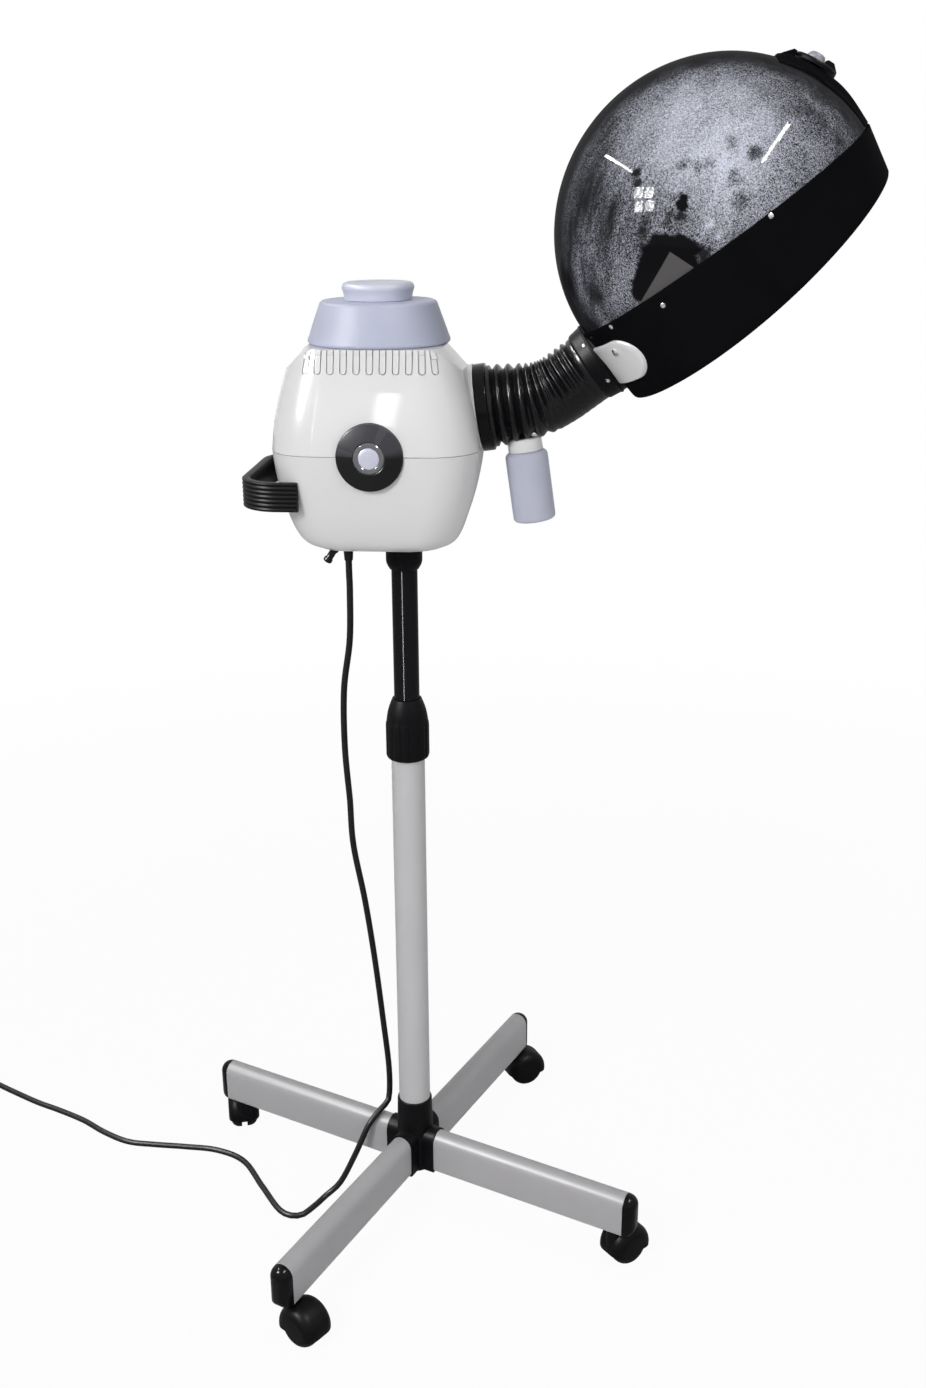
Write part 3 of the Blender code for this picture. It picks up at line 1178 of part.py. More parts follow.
def make_vent_dial():
    """Vent dial with a raised grip bar, on a spindle through the front strip."""
    seat = DOME_RADIUS + SPINE_THICKNESS + GAP
    top = seat + VENT_DIAL_THICKNESS
    tip = DOME_RADIUS + 3 * GAP
    profile = [(0, top), (VENT_DIAL_RADIUS - 0.003, top), (VENT_DIAL_RADIUS, top - 0.002),
               (VENT_DIAL_RADIUS, seat), (VENT_SPINDLE_RADIUS, seat), (VENT_SPINDLE_RADIUS, tip), (0, tip)]
    revolve("vent_dial", profile, BLACK_MATT, HOOD, 24, rotation=dial_turn())
    half = VENT_BAR_WIDTH / 2
    flat = VENT_BAR_LENGTH / 2 - half
    outline = arc(0, flat, half, 0, 180, 6) + arc(0, -flat, half, 180, 360, 6)
    frame = empty("vent_axis", (0, 0, 0), HOOD, dial_turn())
    prism("vent_grip", [outline], VENT_BAR_HEIGHT, LILAC, frame, (0, 0, top + GAP + VENT_BAR_HEIGHT / 2))


def make_drain():
    """Stopped drain nipple, tilted back out of the floor."""
    top = INLET_DEPTH - FIT
    profile = [(0, top), (DRAIN_RADIUS, top), (DRAIN_RADIUS, -DRAIN_LENGTH + 0.0015),
               (DRAIN_RADIUS - 0.001, -DRAIN_LENGTH), (0, -DRAIN_LENGTH)]
    revolve("drain_nipple", profile, RUBBER, HEAD, 12, location=(DRAIN_X, DRAIN_Y, BODY_BOTTOM_Z),
            rotation=(0, radians(DRAIN_TILT), 0))


def smooth_route(points, step):
    """Even points read from a smooth curve through a chosen route."""
    knots = [Vector(p) for p in points]
    ends = [2 * knots[0] - knots[1]] + knots + [2 * knots[-1] - knots[-2]]
    fine = []
    for a, b, c, d in zip(ends, ends[1:], ends[2:], ends[3:]):
        for i in range(16):
            t = i / 16
            fine.append(0.5 * (2 * b + (c - a) * t + (2 * a - 5 * b + 4 * c - d) * t * t
                               + (3 * b - a - 3 * c + d) * t ** 3))
    fine.append(knots[-1])
    total = sum((q - p).length for p, q in zip(fine, fine[1:]))
    count = max(2, round(total / step))
    chosen, run, target = [fine[0]], 0.0, total / count
    for p, q in zip(fine, fine[1:]):
        piece_length = (q - p).length
        while run + piece_length >= target - 1e-9 and len(chosen) < count:
            chosen.append(p + (q - p) * ((target - run) / piece_length))
            target += total / count
        run += piece_length
    return chosen + [fine[-1]], total


def coil_points():
    """Two layers of loops: the lead spirals in, climbs in half a turn, and spirals out again."""
    points = []
    inward = COIL_TURNS * COIL_STEPS
    climb = COIL_STEPS // 2
    inner = COIL_OUTER - COIL_PITCH * COIL_TURNS
    for i in range(2 * inward + climb + 1):
        turn = radians(COIL_START) + 2 * pi * i / COIL_STEPS
        if i <= inward:
            radius, lift = COIL_OUTER - COIL_PITCH * i / COIL_STEPS, 0.0
        elif i <= inward + climb:
            share = (i - inward) / climb
            radius, lift = inner - 0.15 * COIL_PITCH * sin(pi * share), (1 - cos(pi * share)) / 2
        else:
            radius, lift = inner + COIL_PITCH * (i - inward - climb) / COIL_STEPS, 1.0
        points.append(Vector((COIL_X + radius * cos(turn), COIL_Y + radius * sin(turn),
                              COIL_Z + COIL_PITCH * lift)))
    return points


def least_gap(points):
    """Smallest clear distance between stretches of the coil that aren't neighbours along it."""
    skip = COIL_STEPS // 2
    best = min((p - q).length for i, p in enumerate(points) for q in points[i + skip:])
    return best - 2 * CORD_RADIUS


def make_lead():
    """Mains lead: boot, hanging stretch, floor stretch, coil and plug."""
    low = BODY_BOTTOM_Z - BOOT_LENGTH
    inlet = BODY_BOTTOM_Z + INLET_DEPTH - FIT
    boot = [(0, inlet), (BOOT_RADIUS, inlet), (BOOT_RADIUS, BODY_BOTTOM_Z - 0.003),
            (CORD_RADIUS + 0.0009, low), (0, low)]
    revolve("cord_boot", boot, RUBBER, HEAD, 12, location=(BOOT_X, BOOT_Y, 0))
    start = (BOOT_X, BOOT_Y, low - GAP)
    straight = (BOOT_X, BOOT_Y, low - 4 * CORD_RADIUS)
    hang, hang_length = smooth_route((start, straight) + HANG_ROUTE, CORD_STEP)
    place_tube("cord_upper", hang, HEAD)
    route = [Vector(p) for p in DROP_ROUTE]
    route[0] = route[0] - UP * GAP
    coil = coil_points()
    lead_in = coil[0] + (coil[0] - coil[1]).normalized() * GAP
    run_in = [lead_in + (coil[0] - coil[1]).normalized() * CORD_RADIUS * 4 * n for n in (2, 1, 0)]
    drop, drop_length = smooth_route(route + run_in, CORD_STEP)
    place_tube("cord_lower", drop, STAND)
    heading = (coil[-1] - coil[-2]).normalized()
    heading.z = 0
    heading.normalize()
    loop_end = coil[-1].copy()
    rise = PLUG_RADIUS + GAP - loop_end.z
    for i in range(1, 7):
        share = min(1.0, i / 5)
        coil.append(loop_end + heading * COIL_TAIL * i / 6 + UP * rise * share * share * (3 - 2 * share))
    tail_end = coil[-1]
    place_tube("cord_coil", coil, STAND)
    coil_length = sum((q - p).length for p, q in zip(coil, coil[1:]))
    print("coil least gap mm %.2f" % (least_gap(coil_points()) * 1000))
    print("lead length m %.3f" % (hang_length + drop_length + coil_length))
    make_plug(tail_end, heading)


def place_tube(name, points, parent):
    radii = [CORD_RADIUS] * len(points)
    return as_mesh(name, tube_curve(name, points, radii, 1), RUBBER, parent)


def make_plug(place, heading):
    turn = (0, radians(90), atan2(heading.y, heading.x))
    back = GAP
    nose = back + PLUG_NOSE
    front = nose + PLUG_LENGTH
    profile = [(0, front), (PLUG_RADIUS - 0.002, front), (PLUG_RADIUS, front - 0.002),
               (PLUG_RADIUS, nose + 0.006), (CORD_RADIUS + 0.0035, nose), (CORD_RADIUS + 0.0015, back),
               (0, back)]
    plug = revolve("mains_plug", profile, BLACK_MATT, STAND, 20, location=place, rotation=turn)
    frame = empty("plug_frame", place, STAND, turn)
    for side in (-1, 1):
        pin = cylinder(f"plug_pin_{side + 2}", 0.0024, front - EPS, front + PIN_LENGTH, frame,
                       (0, side * PIN_SPREAD, 0), steps=8)
        boolean(plug, pin, "UNION")


make_hub()
make_legs()
make_leg_caps()
for caster in range(LEG_COUNT):
    make_caster(caster)
make_pole()
make_clamp()
make_socket()
make_lower_shell()
make_upper_shell()
make_handle()
make_controls()
make_lamp()
make_tank()
make_boiler()
make_outlet_duct()
make_drip_bottle()
make_bellows()
make_neck()
make_skirt()
make_saddle()
make_dome()
make_nozzle()
make_spine()
make_vent_dial()
make_drain()
make_lead()
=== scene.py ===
"""Looks of a salon hair steamer on a rolling stand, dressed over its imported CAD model.

Every length is in metres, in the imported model's own frame: +Z up, the hood pointing along +X.
"""

from __future__ import annotations

import json
import logging
from dataclasses import dataclass, replace
from enum import Enum
from math import asin, atan2, cos, degrees, pi, radians, sin, sqrt, tan
from typing import Callable, Iterable, Optional, Sequence, Union

import bmesh
import bpy
from mathutils import Matrix, Vector


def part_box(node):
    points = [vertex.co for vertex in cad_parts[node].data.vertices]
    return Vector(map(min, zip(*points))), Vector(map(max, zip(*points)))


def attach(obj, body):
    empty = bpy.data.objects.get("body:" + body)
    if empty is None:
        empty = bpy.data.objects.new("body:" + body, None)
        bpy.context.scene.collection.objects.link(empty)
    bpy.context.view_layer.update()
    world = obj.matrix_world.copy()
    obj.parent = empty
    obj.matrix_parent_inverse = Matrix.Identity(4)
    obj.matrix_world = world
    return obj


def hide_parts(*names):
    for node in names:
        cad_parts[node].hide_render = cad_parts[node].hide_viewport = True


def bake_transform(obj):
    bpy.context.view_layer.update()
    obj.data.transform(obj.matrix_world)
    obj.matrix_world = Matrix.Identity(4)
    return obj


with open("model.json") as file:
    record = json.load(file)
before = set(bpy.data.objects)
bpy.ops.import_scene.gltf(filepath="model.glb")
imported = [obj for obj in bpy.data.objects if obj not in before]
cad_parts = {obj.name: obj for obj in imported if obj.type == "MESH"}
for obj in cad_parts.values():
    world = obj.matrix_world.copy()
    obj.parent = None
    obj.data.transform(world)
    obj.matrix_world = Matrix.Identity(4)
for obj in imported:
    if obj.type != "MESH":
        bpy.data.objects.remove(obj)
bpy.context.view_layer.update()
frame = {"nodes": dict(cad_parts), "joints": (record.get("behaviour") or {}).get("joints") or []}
log = logging.getLogger("hair_steamer")

Triple = tuple[float, float, float]
Colour = Triple
Point = tuple[float, float]
Profile = Sequence[tuple[float, ...]]
Ring = Sequence[Vector]
Obj = bpy.types.Object
Socket = bpy.types.NodeSocket
Tree = bpy.types.NodeTree

UP = Vector((0.0, 0.0, 1.0))
GAP = .0003  # clearance between pieces
CORNER_STEPS = 5  # faces round a softened corner
SHARP = 35.0  # edges that turn more than this, in degrees, stay sharp
BAR_SHARP = 60.0  # the same on round bars
NODE_EDGE = 32.0  # edges of a CAD node that turn more than this, in degrees, are rounded


class Slot(Enum):
    """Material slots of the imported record."""

    IVORY = "ivory_abs"
    GREY = "grey_enamel"
    BLACK_ENAMEL = "black_enamel"
    BLACK_GLOSS = "black_gloss_plastic"
    BLACK_MATT = "black_matt_plastic"
    RUBBER = "black_rubber"
    MILKY = "milky_polythene"
    SMOKE = "smoke_acrylic"
    STEEL = "bright_steel"
    LILAC = "lilac_plastic"
    CLEAR = "clear_plastic"
    NYLON = "natural_nylon"


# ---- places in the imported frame


def at(x: float, y: float, z: float = 0.0) -> Vector:
    """A point or a direction."""
    return Vector((x, y, z))


def joint_named(name: str) -> dict:
    """The record's entry for a joint.

    Args:
        name: The joint's name in the record.

    Returns:
        The joint's dictionary, with its place and axis.
    """
    return next(joint for joint in frame["joints"] if joint["name"] == name)


def middle_of(node: str) -> Vector:
    """The middle of a CAD node's box."""
    low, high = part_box(node)
    return (low + high) / 2


def shifted(x: float = 0.0, y: float = 0.0, z: float = 0.0) -> Matrix:
    """A plain shift as a matrix."""
    return Matrix.Translation((x, y, z))


def turned(angle: float, axis: str) -> Matrix:
    """A turn about an axis, in degrees."""
    return Matrix.Rotation(radians(angle), 4, axis)


def pitched(origin: Vector, pitch: float) -> Matrix:
    """A frame whose X is raised by a pitch about Y.

    Args:
        origin: Where the frame stands.
        pitch: Rise of the frame's X above level, in degrees.

    Returns:
        The frame as a matrix.
    """
    return Matrix.Translation(origin) @ turned(-pitch, "Y")


def aimed(origin: Sequence[float], direction: Sequence[float], side: Optional[Vector] = None) -> Matrix:
    """A frame whose Z points along a direction.

    Args:
        origin: Where the frame stands.
        direction: Where its Z points.
        side: Where its X should point, as nearly as it can.

    Returns:
        The frame as a matrix.
    """
    ahead = Vector(direction).normalized()
    across = Vector(side) if side is not None else ahead.orthogonal()
    across = (across - ahead * across.dot(ahead)).normalized()
    turn = Matrix((across, ahead.cross(across), ahead)).transposed().to_4x4()
    return Matrix.Translation(origin) @ turn


ALONG_X = turned(90, "Y")
FACING_FRONT = turned(90, "X")
HINGE_RUN = .0673  # along the duct from its flange to the hinge
DIAL_RISE = 25.0  # of the dial's axis above the dome's rim, in degrees
DUCT_AXIS, DIAL_AXIS = joint_named("bottle_turn")["axis"], joint_named("vent_turn")["axis"]
DUCT_PITCH = degrees(atan2(-DUCT_AXIS[0], DUCT_AXIS[2]))
HOOD_PITCH = degrees(atan2(DIAL_AXIS[2], DIAL_AXIS[0])) - DIAL_RISE
HINGE_SPOT = Vector(joint_named("hood_tilt")["pos_m"])

# Feet of the pole's and the body's upright axes on the floor.
POLE = shifted(*middle_of("lower_pole").xy)
BODY = shifted(*joint_named("cap_turn")["pos_m"][:2])
# Hinge of the hood, with X along the neck, and steam outlet on the body, with X along the duct.
HINGE = pitched(HINGE_SPOT, HOOD_PITCH)
PORT = pitched(HINGE_SPOT, DUCT_PITCH) @ shifted(-HINGE_RUN)
# Middle of the dome's rim, with Z along the dome's axis and along the vent dial's.
HOOD = pitched(Vector(joint_named("vent_turn")["pos_m"]), HOOD_PITCH)
DIAL = HOOD @ turned(90 - DIAL_RISE, "Y")


# ---- mesh tools


def softened(profile: Profile) -> list[Point]:
    """Rounds the corners of a profile that carry a third number.

    Args:
        profile: Points (radius, height) or (radius, height, rounding).

    Returns:
        The profile as plain points.
    """
    made: list[Point] = []
    for i, point in enumerate(profile):
        rounding = point[2] if len(point) > 2 else 0.0
        if not rounding or i in (0, len(profile) - 1):
            made.append((point[0], point[1]))
            continue
        before, corner, after = (Vector(profile[i + k][:2]) for k in (-1, 0, 1))
        reach = min(rounding, (before - corner).length * .48, (after - corner).length * .48)
        start = corner + (before - corner).normalized() * reach
        end = corner + (after - corner).normalized() * reach
        for k in range(CORNER_STEPS + 1):
            share = k / CORNER_STEPS
            spot = start.lerp(corner, share).lerp(corner.lerp(end, share), share)
            made.append((spot.x, spot.y))
    return made


def spline(knots: Sequence[Vector], parts: int) -> list[Vector]:
    """Points on a smooth curve through knots.

    Args:
        knots: The points that the curve runs through.
        parts: Points on each stretch between two knots.

    Returns:
        The curve's points, with both ends kept.
    """
    ends = [2 * knots[0] - knots[1]] + list(knots) + [2 * knots[-1] - knots[-2]]
    fine: list[Vector] = []
    for a, b, c, d in zip(ends, ends[1:], ends[2:], ends[3:]):
        for i in range(parts):
            t = i / parts
            fine.append(.5 * (2 * b + (c - a) * t + (2 * a - 5 * b + 4 * c - d) * t * t
                + (3 * b - a - 3 * c + d) * t ** 3))
    return fine + [knots[-1].copy()]


def smooth_line(points: Iterable[Sequence[float]], step: float) -> list[Vector]:
    """Even points along a smooth curve through a chosen route.

    Args:
        points: The route's points.
        step: Distance wanted between the points.

    Returns:
        Points about a step apart, with both ends kept.
    """
    fine = spline([Vector(p) for p in points], 16)
    total = length_of(fine)
    count = max(2, round(total / step))
    chosen, run, target = [fine[0]], 0.0, total / count
    for p, q in zip(fine, fine[1:]):
        stretch = (q - p).length
        while run + stretch >= target - 1e-9 and len(chosen) < count:
            chosen.append(p + (q - p) * ((target - run) / stretch))
            target += total / count
        run += stretch
    return chosen + [fine[-1]]


def length_of(points: Sequence[Vector]) -> float:
    """Length of a line of points."""
    return sum((q - p).length for p, q in zip(points, points[1:]))


def arc(cx: float, cy: float, radius: float, start: float, end: float, steps: int) -> list[Point]:
    """Points on a round stretch.

    Args:
        cx: Across, to the middle.
        cy: Up, to the middle.
        radius: The stretch's radius.
        start: First angle, in degrees.
        end: Last angle, in degrees.
        steps: Pieces of the stretch.

    Returns:
        The points in order.
    """
    turns = [radians(start + (end - start) * i / steps) for i in range(steps + 1)]
    return [(cx + radius * cos(a), cy + radius * sin(a)) for a in turns]


def mesh_object(name: str, bm: bmesh.types.BMesh, sharp: float = SHARP) -> Obj:
    """Turns a bmesh into an object in the scene.

    Args:
        name: The piece's name.
        bm: The mesh, which is freed.
        sharp: Edges that turn more than this, in degrees, stay sharp.

    Returns:
        The new object.
    """
    bmesh.ops.remove_doubles(bm, verts=bm.verts, dist=1e-7)
    bmesh.ops.recalc_face_normals(bm, faces=bm.faces)
    mesh = bpy.data.meshes.new(name)
    bm.to_mesh(mesh)
    bm.free()
    mesh.shade_smooth()
    mesh.set_sharp_from_angle(angle=radians(sharp))
    made = bpy.data.objects.new(name, mesh)
    bpy.context.scene.collection.objects.link(made)
    return made


def bridge(bm: bmesh.types.BMesh, one: list, two: list) -> None:
    """Faces between two rings, either of which may be a single point.

    Args:
        bm: The mesh that takes the faces.
        one: Vertices of the first ring.
        two: Vertices of the second ring.
    """
    count = max(len(one), len(two))
    for i in range(count if count > 1 else 0):
        j = (i + 1) % count
        quad = [one[i % len(one)], one[j % len(one)], two[j % len(two)], two[i % len(two)]]
        bm.faces.new(list(dict.fromkeys(quad)))


def lathe(name: str, profile: Profile, place: Matrix, steps: int = 64, closed: bool = False) -> Obj:
    """A turned piece about the Z axis of a frame.

    Args:
        name: The piece's name.
        profile: Points (radius, height) or (radius, height, rounding); a radius of nought closes the end.
        place: The frame that it is turned in.
        steps: Points round it.
        closed: Whether the profile is a loop.

    Returns:
        The new object.
    """
    turns = [2 * pi * i / steps for i in range(steps)]
    rings = []
    for radius, height in softened(profile):
        if radius < 1e-7:
            rings.append([place @ at(0, 0, height)])
        else:
            rings.append([place @ at(radius * cos(a), radius * sin(a), height) for a in turns])
    return skin(name, rings, closed, ends=False)


def skin(name: str, rings: Sequence[Ring], wrap: bool = False, ends: bool = True, sharp: float = SHARP) -> Obj:
    """A skin over closed rings, ended by flat faces, left open or wrapped round.

    Args:
        name: The piece's name.
        rings: Rings of equal count, any of which may be a single point.
        wrap: Whether the last ring joins the first.
        ends: Whether flat faces close a skin that doesn't wrap.
        sharp: Edges that turn more than this, in degrees, stay sharp.

    Returns:
        The new object.
    """
    bm = bmesh.new()
    rows = [[bm.verts.new(p) for p in ring] for ring in rings]
    for one, two in zip(rows, rows[1:]):
        bridge(bm, one, two)
    if wrap:
        bridge(bm, rows[-1], rows[0])
    elif ends:
        bm.faces.new(rows[0])
        bm.faces.new(rows[-1])
    return mesh_object(name, bm, sharp)


def prism(name: str, outline: Sequence[Point], low: float, high: float, place: Matrix) -> Obj:
    """A flat outline of a frame's XY plane, carried along its Z."""
    return skin(name, [[place @ at(x, y, z) for x, y in outline] for z in (low, high)])


def sweep(name: str, points: Sequence[Vector], radii: Union[float, Sequence[float]], sides: int = 12) -> Obj:
    """A round bar along points, with a frame carried along so that it doesn't twist.

    Args:
        name: The piece's name.
        points: The middle line.
        radii: One radius, or one for each point.
        sides: Points round the section.

    Returns:
        The new object.
    """
    if isinstance(radii, float):
        radii = [radii] * len(points)
    tangents = []
    for i in range(len(points)):
        tangents.append((points[min(i + 1, len(points) - 1)] - points[max(i - 1, 0)]).normalized())
    side = tangents[0].orthogonal().normalized()
    rings = []
    for i, (point, radius) in enumerate(zip(points, radii)):
        if i:
            side.rotate(tangents[i - 1].rotation_difference(tangents[i]))
            side = (side - tangents[i] * side.dot(tangents[i])).normalized()
        other = tangents[i].cross(side)
        rings.append([point + side * radius * cos(2 * pi * k / sides) + other * radius * sin(2 * pi * k / sides)
            for k in range(sides)])
    return skin(name, rings, sharp=BAR_SHARP)


def block(name: str, low: Sequence[float], high: Sequence[float], place: Matrix) -> Obj:
    """A box between two corners of a frame."""
    outline = [(low[0], low[1]), (high[0], low[1]), (high[0], high[1]), (low[0], high[1])]
    return prism(name, outline, low[2], high[2], place)


def rod(name: str, radius: float, low: float, high: float, place: Matrix, steps: int = 64) -> Obj:
    """A plain round bar along a frame's Z."""
    return lathe(name, [(0, high), (radius, high), (radius, low), (0, low)], place, steps)


def drop(obj: Obj) -> None:
    """Removes a helper object and its mesh.

    Args:
        obj: The object to remove.
    """
    mesh = obj.data
    bpy.data.objects.remove(obj, do_unlink=True)
    bpy.data.meshes.remove(mesh)


def join(name: str, pieces: Sequence[Obj]) -> Obj:
    """One object from several that touch or overlap.

    Args:
        name: Name of the new object.
        pieces: Objects that it takes up.

    Returns:
        The new object.
    """
    bm = bmesh.new()
    for part in pieces:
        bm.from_mesh(part.data)
    for part in pieces:
        drop(part)
    return mesh_object(name, bm)


def carve(target: Obj, tools: Sequence[Obj], operation: str = "DIFFERENCE", sharp: float = 30.0) -> Obj:
    """Cuts tools from a piece, or joins them or keeps the overlap, and removes the tools.

    Args:
        target: The piece that changes.
        tools: Helper objects.
        operation: Blender's name for the change.
        sharp: Edges that turn more than this, in degrees, stay sharp.

    Returns:
        The same piece.
    """
    for tool in tools:
        change = target.modifiers.new(tool.name, "BOOLEAN")
        change.operation = operation
        change.object = tool
        change.solver = "EXACT"
    graph = bpy.context.evaluated_depsgraph_get()
    mesh = bpy.data.meshes.new_from_object(target.evaluated_get(graph))
    old = target.data
    target.modifiers.clear()
    target.data = mesh
    bpy.data.meshes.remove(old)
    mesh.shade_smooth()
    mesh.set_sharp_from_angle(angle=radians(sharp))
    for tool in tools:
        drop(tool)
    return target


def bevel(obj: Obj, width: float, angle: float, segments: int = 2) -> None:
    """Rounds the edges that turn more than an angle in degrees.

    Args:
        obj: The object.
        width: Width of the rounding.
        angle: Least turn of an edge.
        segments: Faces across an edge.
    """
    change = obj.modifiers.new("rounded_edges", "BEVEL")
    change.width = width
    change.segments = segments
    change.limit_method = "ANGLE"
    change.angle_limit = radians(angle)


def round_edges(obj: Obj, width: float, angle: float = 30.0, segments: int = 2) -> Obj:
    """Rounds a piece's sharp edges with a bevel, and evens the normals over its faces.

    Args:
        obj: The piece.
        width: Width of the rounding.
        angle: Edges that turn more than this, in degrees, are rounded.
        segments: Faces across the rounding.

    Returns:
        The same piece.
    """
    bevel(obj, width, angle, segments)
    even = obj.modifiers.new("even_normals", "WEIGHTED_NORMAL")
    even.keep_sharp = True
    even.weight = 80
    return obj


# ---- shader tools

Value = Union[float, Sequence[float], Socket]
Sockets = bpy.types.NodeOutputs


@dataclass
class Graph:
    """A node tree under construction."""

    tree: Tree

    def add(self, kind: str, inputs: Optional[dict] = None, **settings) -> bpy.types.Node:
        """Adds a node.

        Args:
            kind: The node's type without the leading "ShaderNode", or a whole type name.
            inputs: Values or sockets for the node's inputs, by name or number.
            settings: The node's own properties.

        Returns:
            The new node.
        """
        name = kind if kind.startswith("Node") else "ShaderNode" + kind
        node = self.tree.nodes.new(name)
        for key, value in settings.items():
            setattr(node, key, value)
        for key, value in (inputs or {}).items():
            self.feed(node.inputs[key], value)
        return node

    def feed(self, socket: Socket, value: Value) -> None:
        """Sets or links one input.

        Args:
            socket: The input.
            value: Its value or another node's output.
        """
        if isinstance(value, Socket):
            self.tree.links.new(value, socket)
        elif isinstance(value, (int, float)):
            socket.default_value = value
        elif socket.type == "RGBA":
            socket.default_value = (*value[:3], 1.0)
        else:
            socket.default_value = tuple(value)

    def maths(self, operation: str, one: Value, two: Value = 0.0, clamp: bool = False) -> Socket:
        """A sum on two values."""
        node = self.add("Math", {0: one, 1: two}, operation=operation, use_clamp=clamp)
        return node.outputs[0]

    def vector(self, operation: str, one: Value, two: Value, output: str = "Vector") -> Socket:
        """A sum on two vectors."""
        return self.add("VectorMath", {0: one, 1: two}, operation=operation).outputs[output]

    def span(self, value: Value, low: float, high: float, to_low: float = 0.0, to_high: float = 1.0,
            smooth: bool = True) -> Socket:
        """A value eased from one range to another.

        Args:
            value: What is eased.
            low: Start of its range.
            high: End of its range.
            to_low: Result at the start.
            to_high: Result at the end.
            smooth: Whether the ease is rounded.

        Returns:
            The result.
        """
        node = self.add("MapRange", {"Value": value, "From Min": low, "From Max": high, "To Min": to_low,
            "To Max": to_high}, clamp=True)
        node.interpolation_type = "SMOOTHSTEP" if smooth else "LINEAR"
        return node.outputs[0]

    def blend(self, share: Value, one: Value, two: Value) -> Socket:
        """A colour between two others.

        Args:
            share: Share of the second colour.
            one: First colour.
            two: Second colour.

        Returns:
            The colour.
        """
        node = self.add("Mix", data_type="RGBA", clamp_factor=True)
        self.feed(node.inputs[0], share)
        self.feed(node.inputs[6], one)
        self.feed(node.inputs[7], two)
        return node.outputs[2]

    def noise(self, scale: Value, detail: float = 3.0, roughness: float = .55, where: Optional[Value] = None) -> Socket:
        """Noise over the piece's own coordinates.

        Args:
            scale: Scale of the noise.
            detail: Count of its octaves.
            roughness: Strength of the finer octaves.
            where: Coordinates in place of the piece's own.

        Returns:
            The noise.
        """
        inputs = {"Scale": scale, "Detail": detail, "Roughness": roughness}
        inputs["Vector"] = where if where is not None else self.place()
        return self.add("TexNoise", inputs).outputs["Fac"]

    def place(self) -> Socket:
        """The piece's own coordinates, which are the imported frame's at rest."""
        return self.add("TexCoord").outputs["Object"]


def graph_of(owner: Union[bpy.types.Material, bpy.types.World]) -> Graph:
    """The node tree of a material or a world, emptied.

    Args:
        owner: The material or world.

    Returns:
        Its tree.
    """
    owner.use_nodes = True
    owner.node_tree.nodes.clear()
    return Graph(owner.node_tree)


class Effect(Enum):
    """Surface effects that several finishes share, each a node group built once."""

    MOTTLE = "mottled_colour"
    GRAIN = "moulded_grain"
    WEAR = "edge_wear"
    DUST = "settled_dust"

    def group(self) -> Tree:
        """The effect's node group.

        Returns:
            The group, made on the first call.
        """
        made = bpy.data.node_groups.get(self.value)
        if made is None:
            made = bpy.data.node_groups.new(self.value, "ShaderNodeTree")
            build, *sides = EFFECTS[self]
            for way, sockets in zip(("INPUT", "OUTPUT"), sides):
                for name, kind in sockets.items():
                    made.interface.new_socket(name=name, in_out=way, socket_type="NodeSocket" + kind)
            g = Graph(made)
            entry, leave = g.add("NodeGroupInput"), g.add("NodeGroupOutput")
            for name, socket in build(g, entry.outputs).items():
                g.feed(leave.inputs[name], socket)
        return made


def mottle(g: Graph, entry: Sockets) -> dict[str, Socket]:
    """Slow variation between two shades, with a value for roughness.

    Args:
        g: The group's tree.
        entry: The group's inputs.

    Returns:
        Its outputs.
    """
    slow = g.span(g.noise(entry["Scale"], 5.0, .6), .35, .7)
    fine = g.noise(g.maths("MULTIPLY", entry["Scale"], 9.0), 3.0, .6)
    share = g.maths("MULTIPLY", slow, entry["Amount"], True)
    drift = g.maths("MULTIPLY", g.maths("SUBTRACT", fine, .5), entry["Spread"])
    return {"Colour": g.blend(share, entry["Colour"], entry["Shade"]),
        "Roughness": g.maths("ADD", entry["Roughness"], drift, True)}


def grain(g: Graph, entry: Sockets) -> dict[str, Socket]:
    """Fine bump of a moulded or sprayed surface.

    Args:
        g: The group's tree.
        entry: The group's inputs.

    Returns:
        Its outputs.
    """
    height = g.noise(entry["Scale"], 2.0, .5)
    bump = g.add("Bump", {"Strength": 1.0, "Distance": entry["Depth"], "Height": height})
    return {"Normal": bump.outputs["Normal"]}


def wear(g: Graph, entry: Sockets) -> dict[str, Socket]:
    """Mask along rubbed edges.

    Args:
        g: The group's tree.
        entry: The group's inputs.

    Returns:
        Its outputs.
    """
    edge = g.span(g.add("NewGeometry").outputs["Pointiness"], .53, .62)
    patchy = g.span(g.noise(90.0, 4.0, .65), .4, .62)
    return {"Mask": g.maths("MULTIPLY", g.maths("MULTIPLY", edge, patchy), entry["Amount"], True)}


def dust(g: Graph, entry: Sockets) -> dict[str, Socket]:
    """Mask of fine dust on faces that look up.

    Args:
        g: The group's tree.
        entry: The group's inputs.

    Returns:
        Its outputs.
    """
    split = g.add("SeparateXYZ", {0: g.add("NewGeometry").outputs["Normal"]})
    upward = g.span(split.outputs["Z"], .2, 1.0)
    patchy = g.span(g.noise(38.0, 5.0, .7), .35, .75)
    speck = g.span(g.noise(1400.0, 1.0, .5), .58, .7)
    film = g.maths("ADD", g.maths("MULTIPLY", patchy, .55), g.maths("MULTIPLY", speck, .45))
    return {"Mask": g.maths("MULTIPLY", g.maths("MULTIPLY", upward, film), entry["Amount"], True)}


AMOUNT, MASK = {"Amount": "Float"}, {"Mask": "Float"}
EFFECTS: dict[Effect, tuple[Callable[[Graph, Sockets], dict[str, Socket]], dict, dict]] = {Effect.MOTTLE: (mottle,
    {"Colour": "Color", "Shade": "Color", "Scale": "Float", "Amount": "Float", "Roughness": "Float",
    "Spread": "Float"}, {"Colour": "Color", "Roughness": "Float"}),
    Effect.GRAIN: (grain, {"Scale": "Float", "Depth": "Float"}, {"Normal": "Vector"}),
    Effect.WEAR: (wear, AMOUNT, MASK), Effect.DUST: (dust, AMOUNT, MASK)}


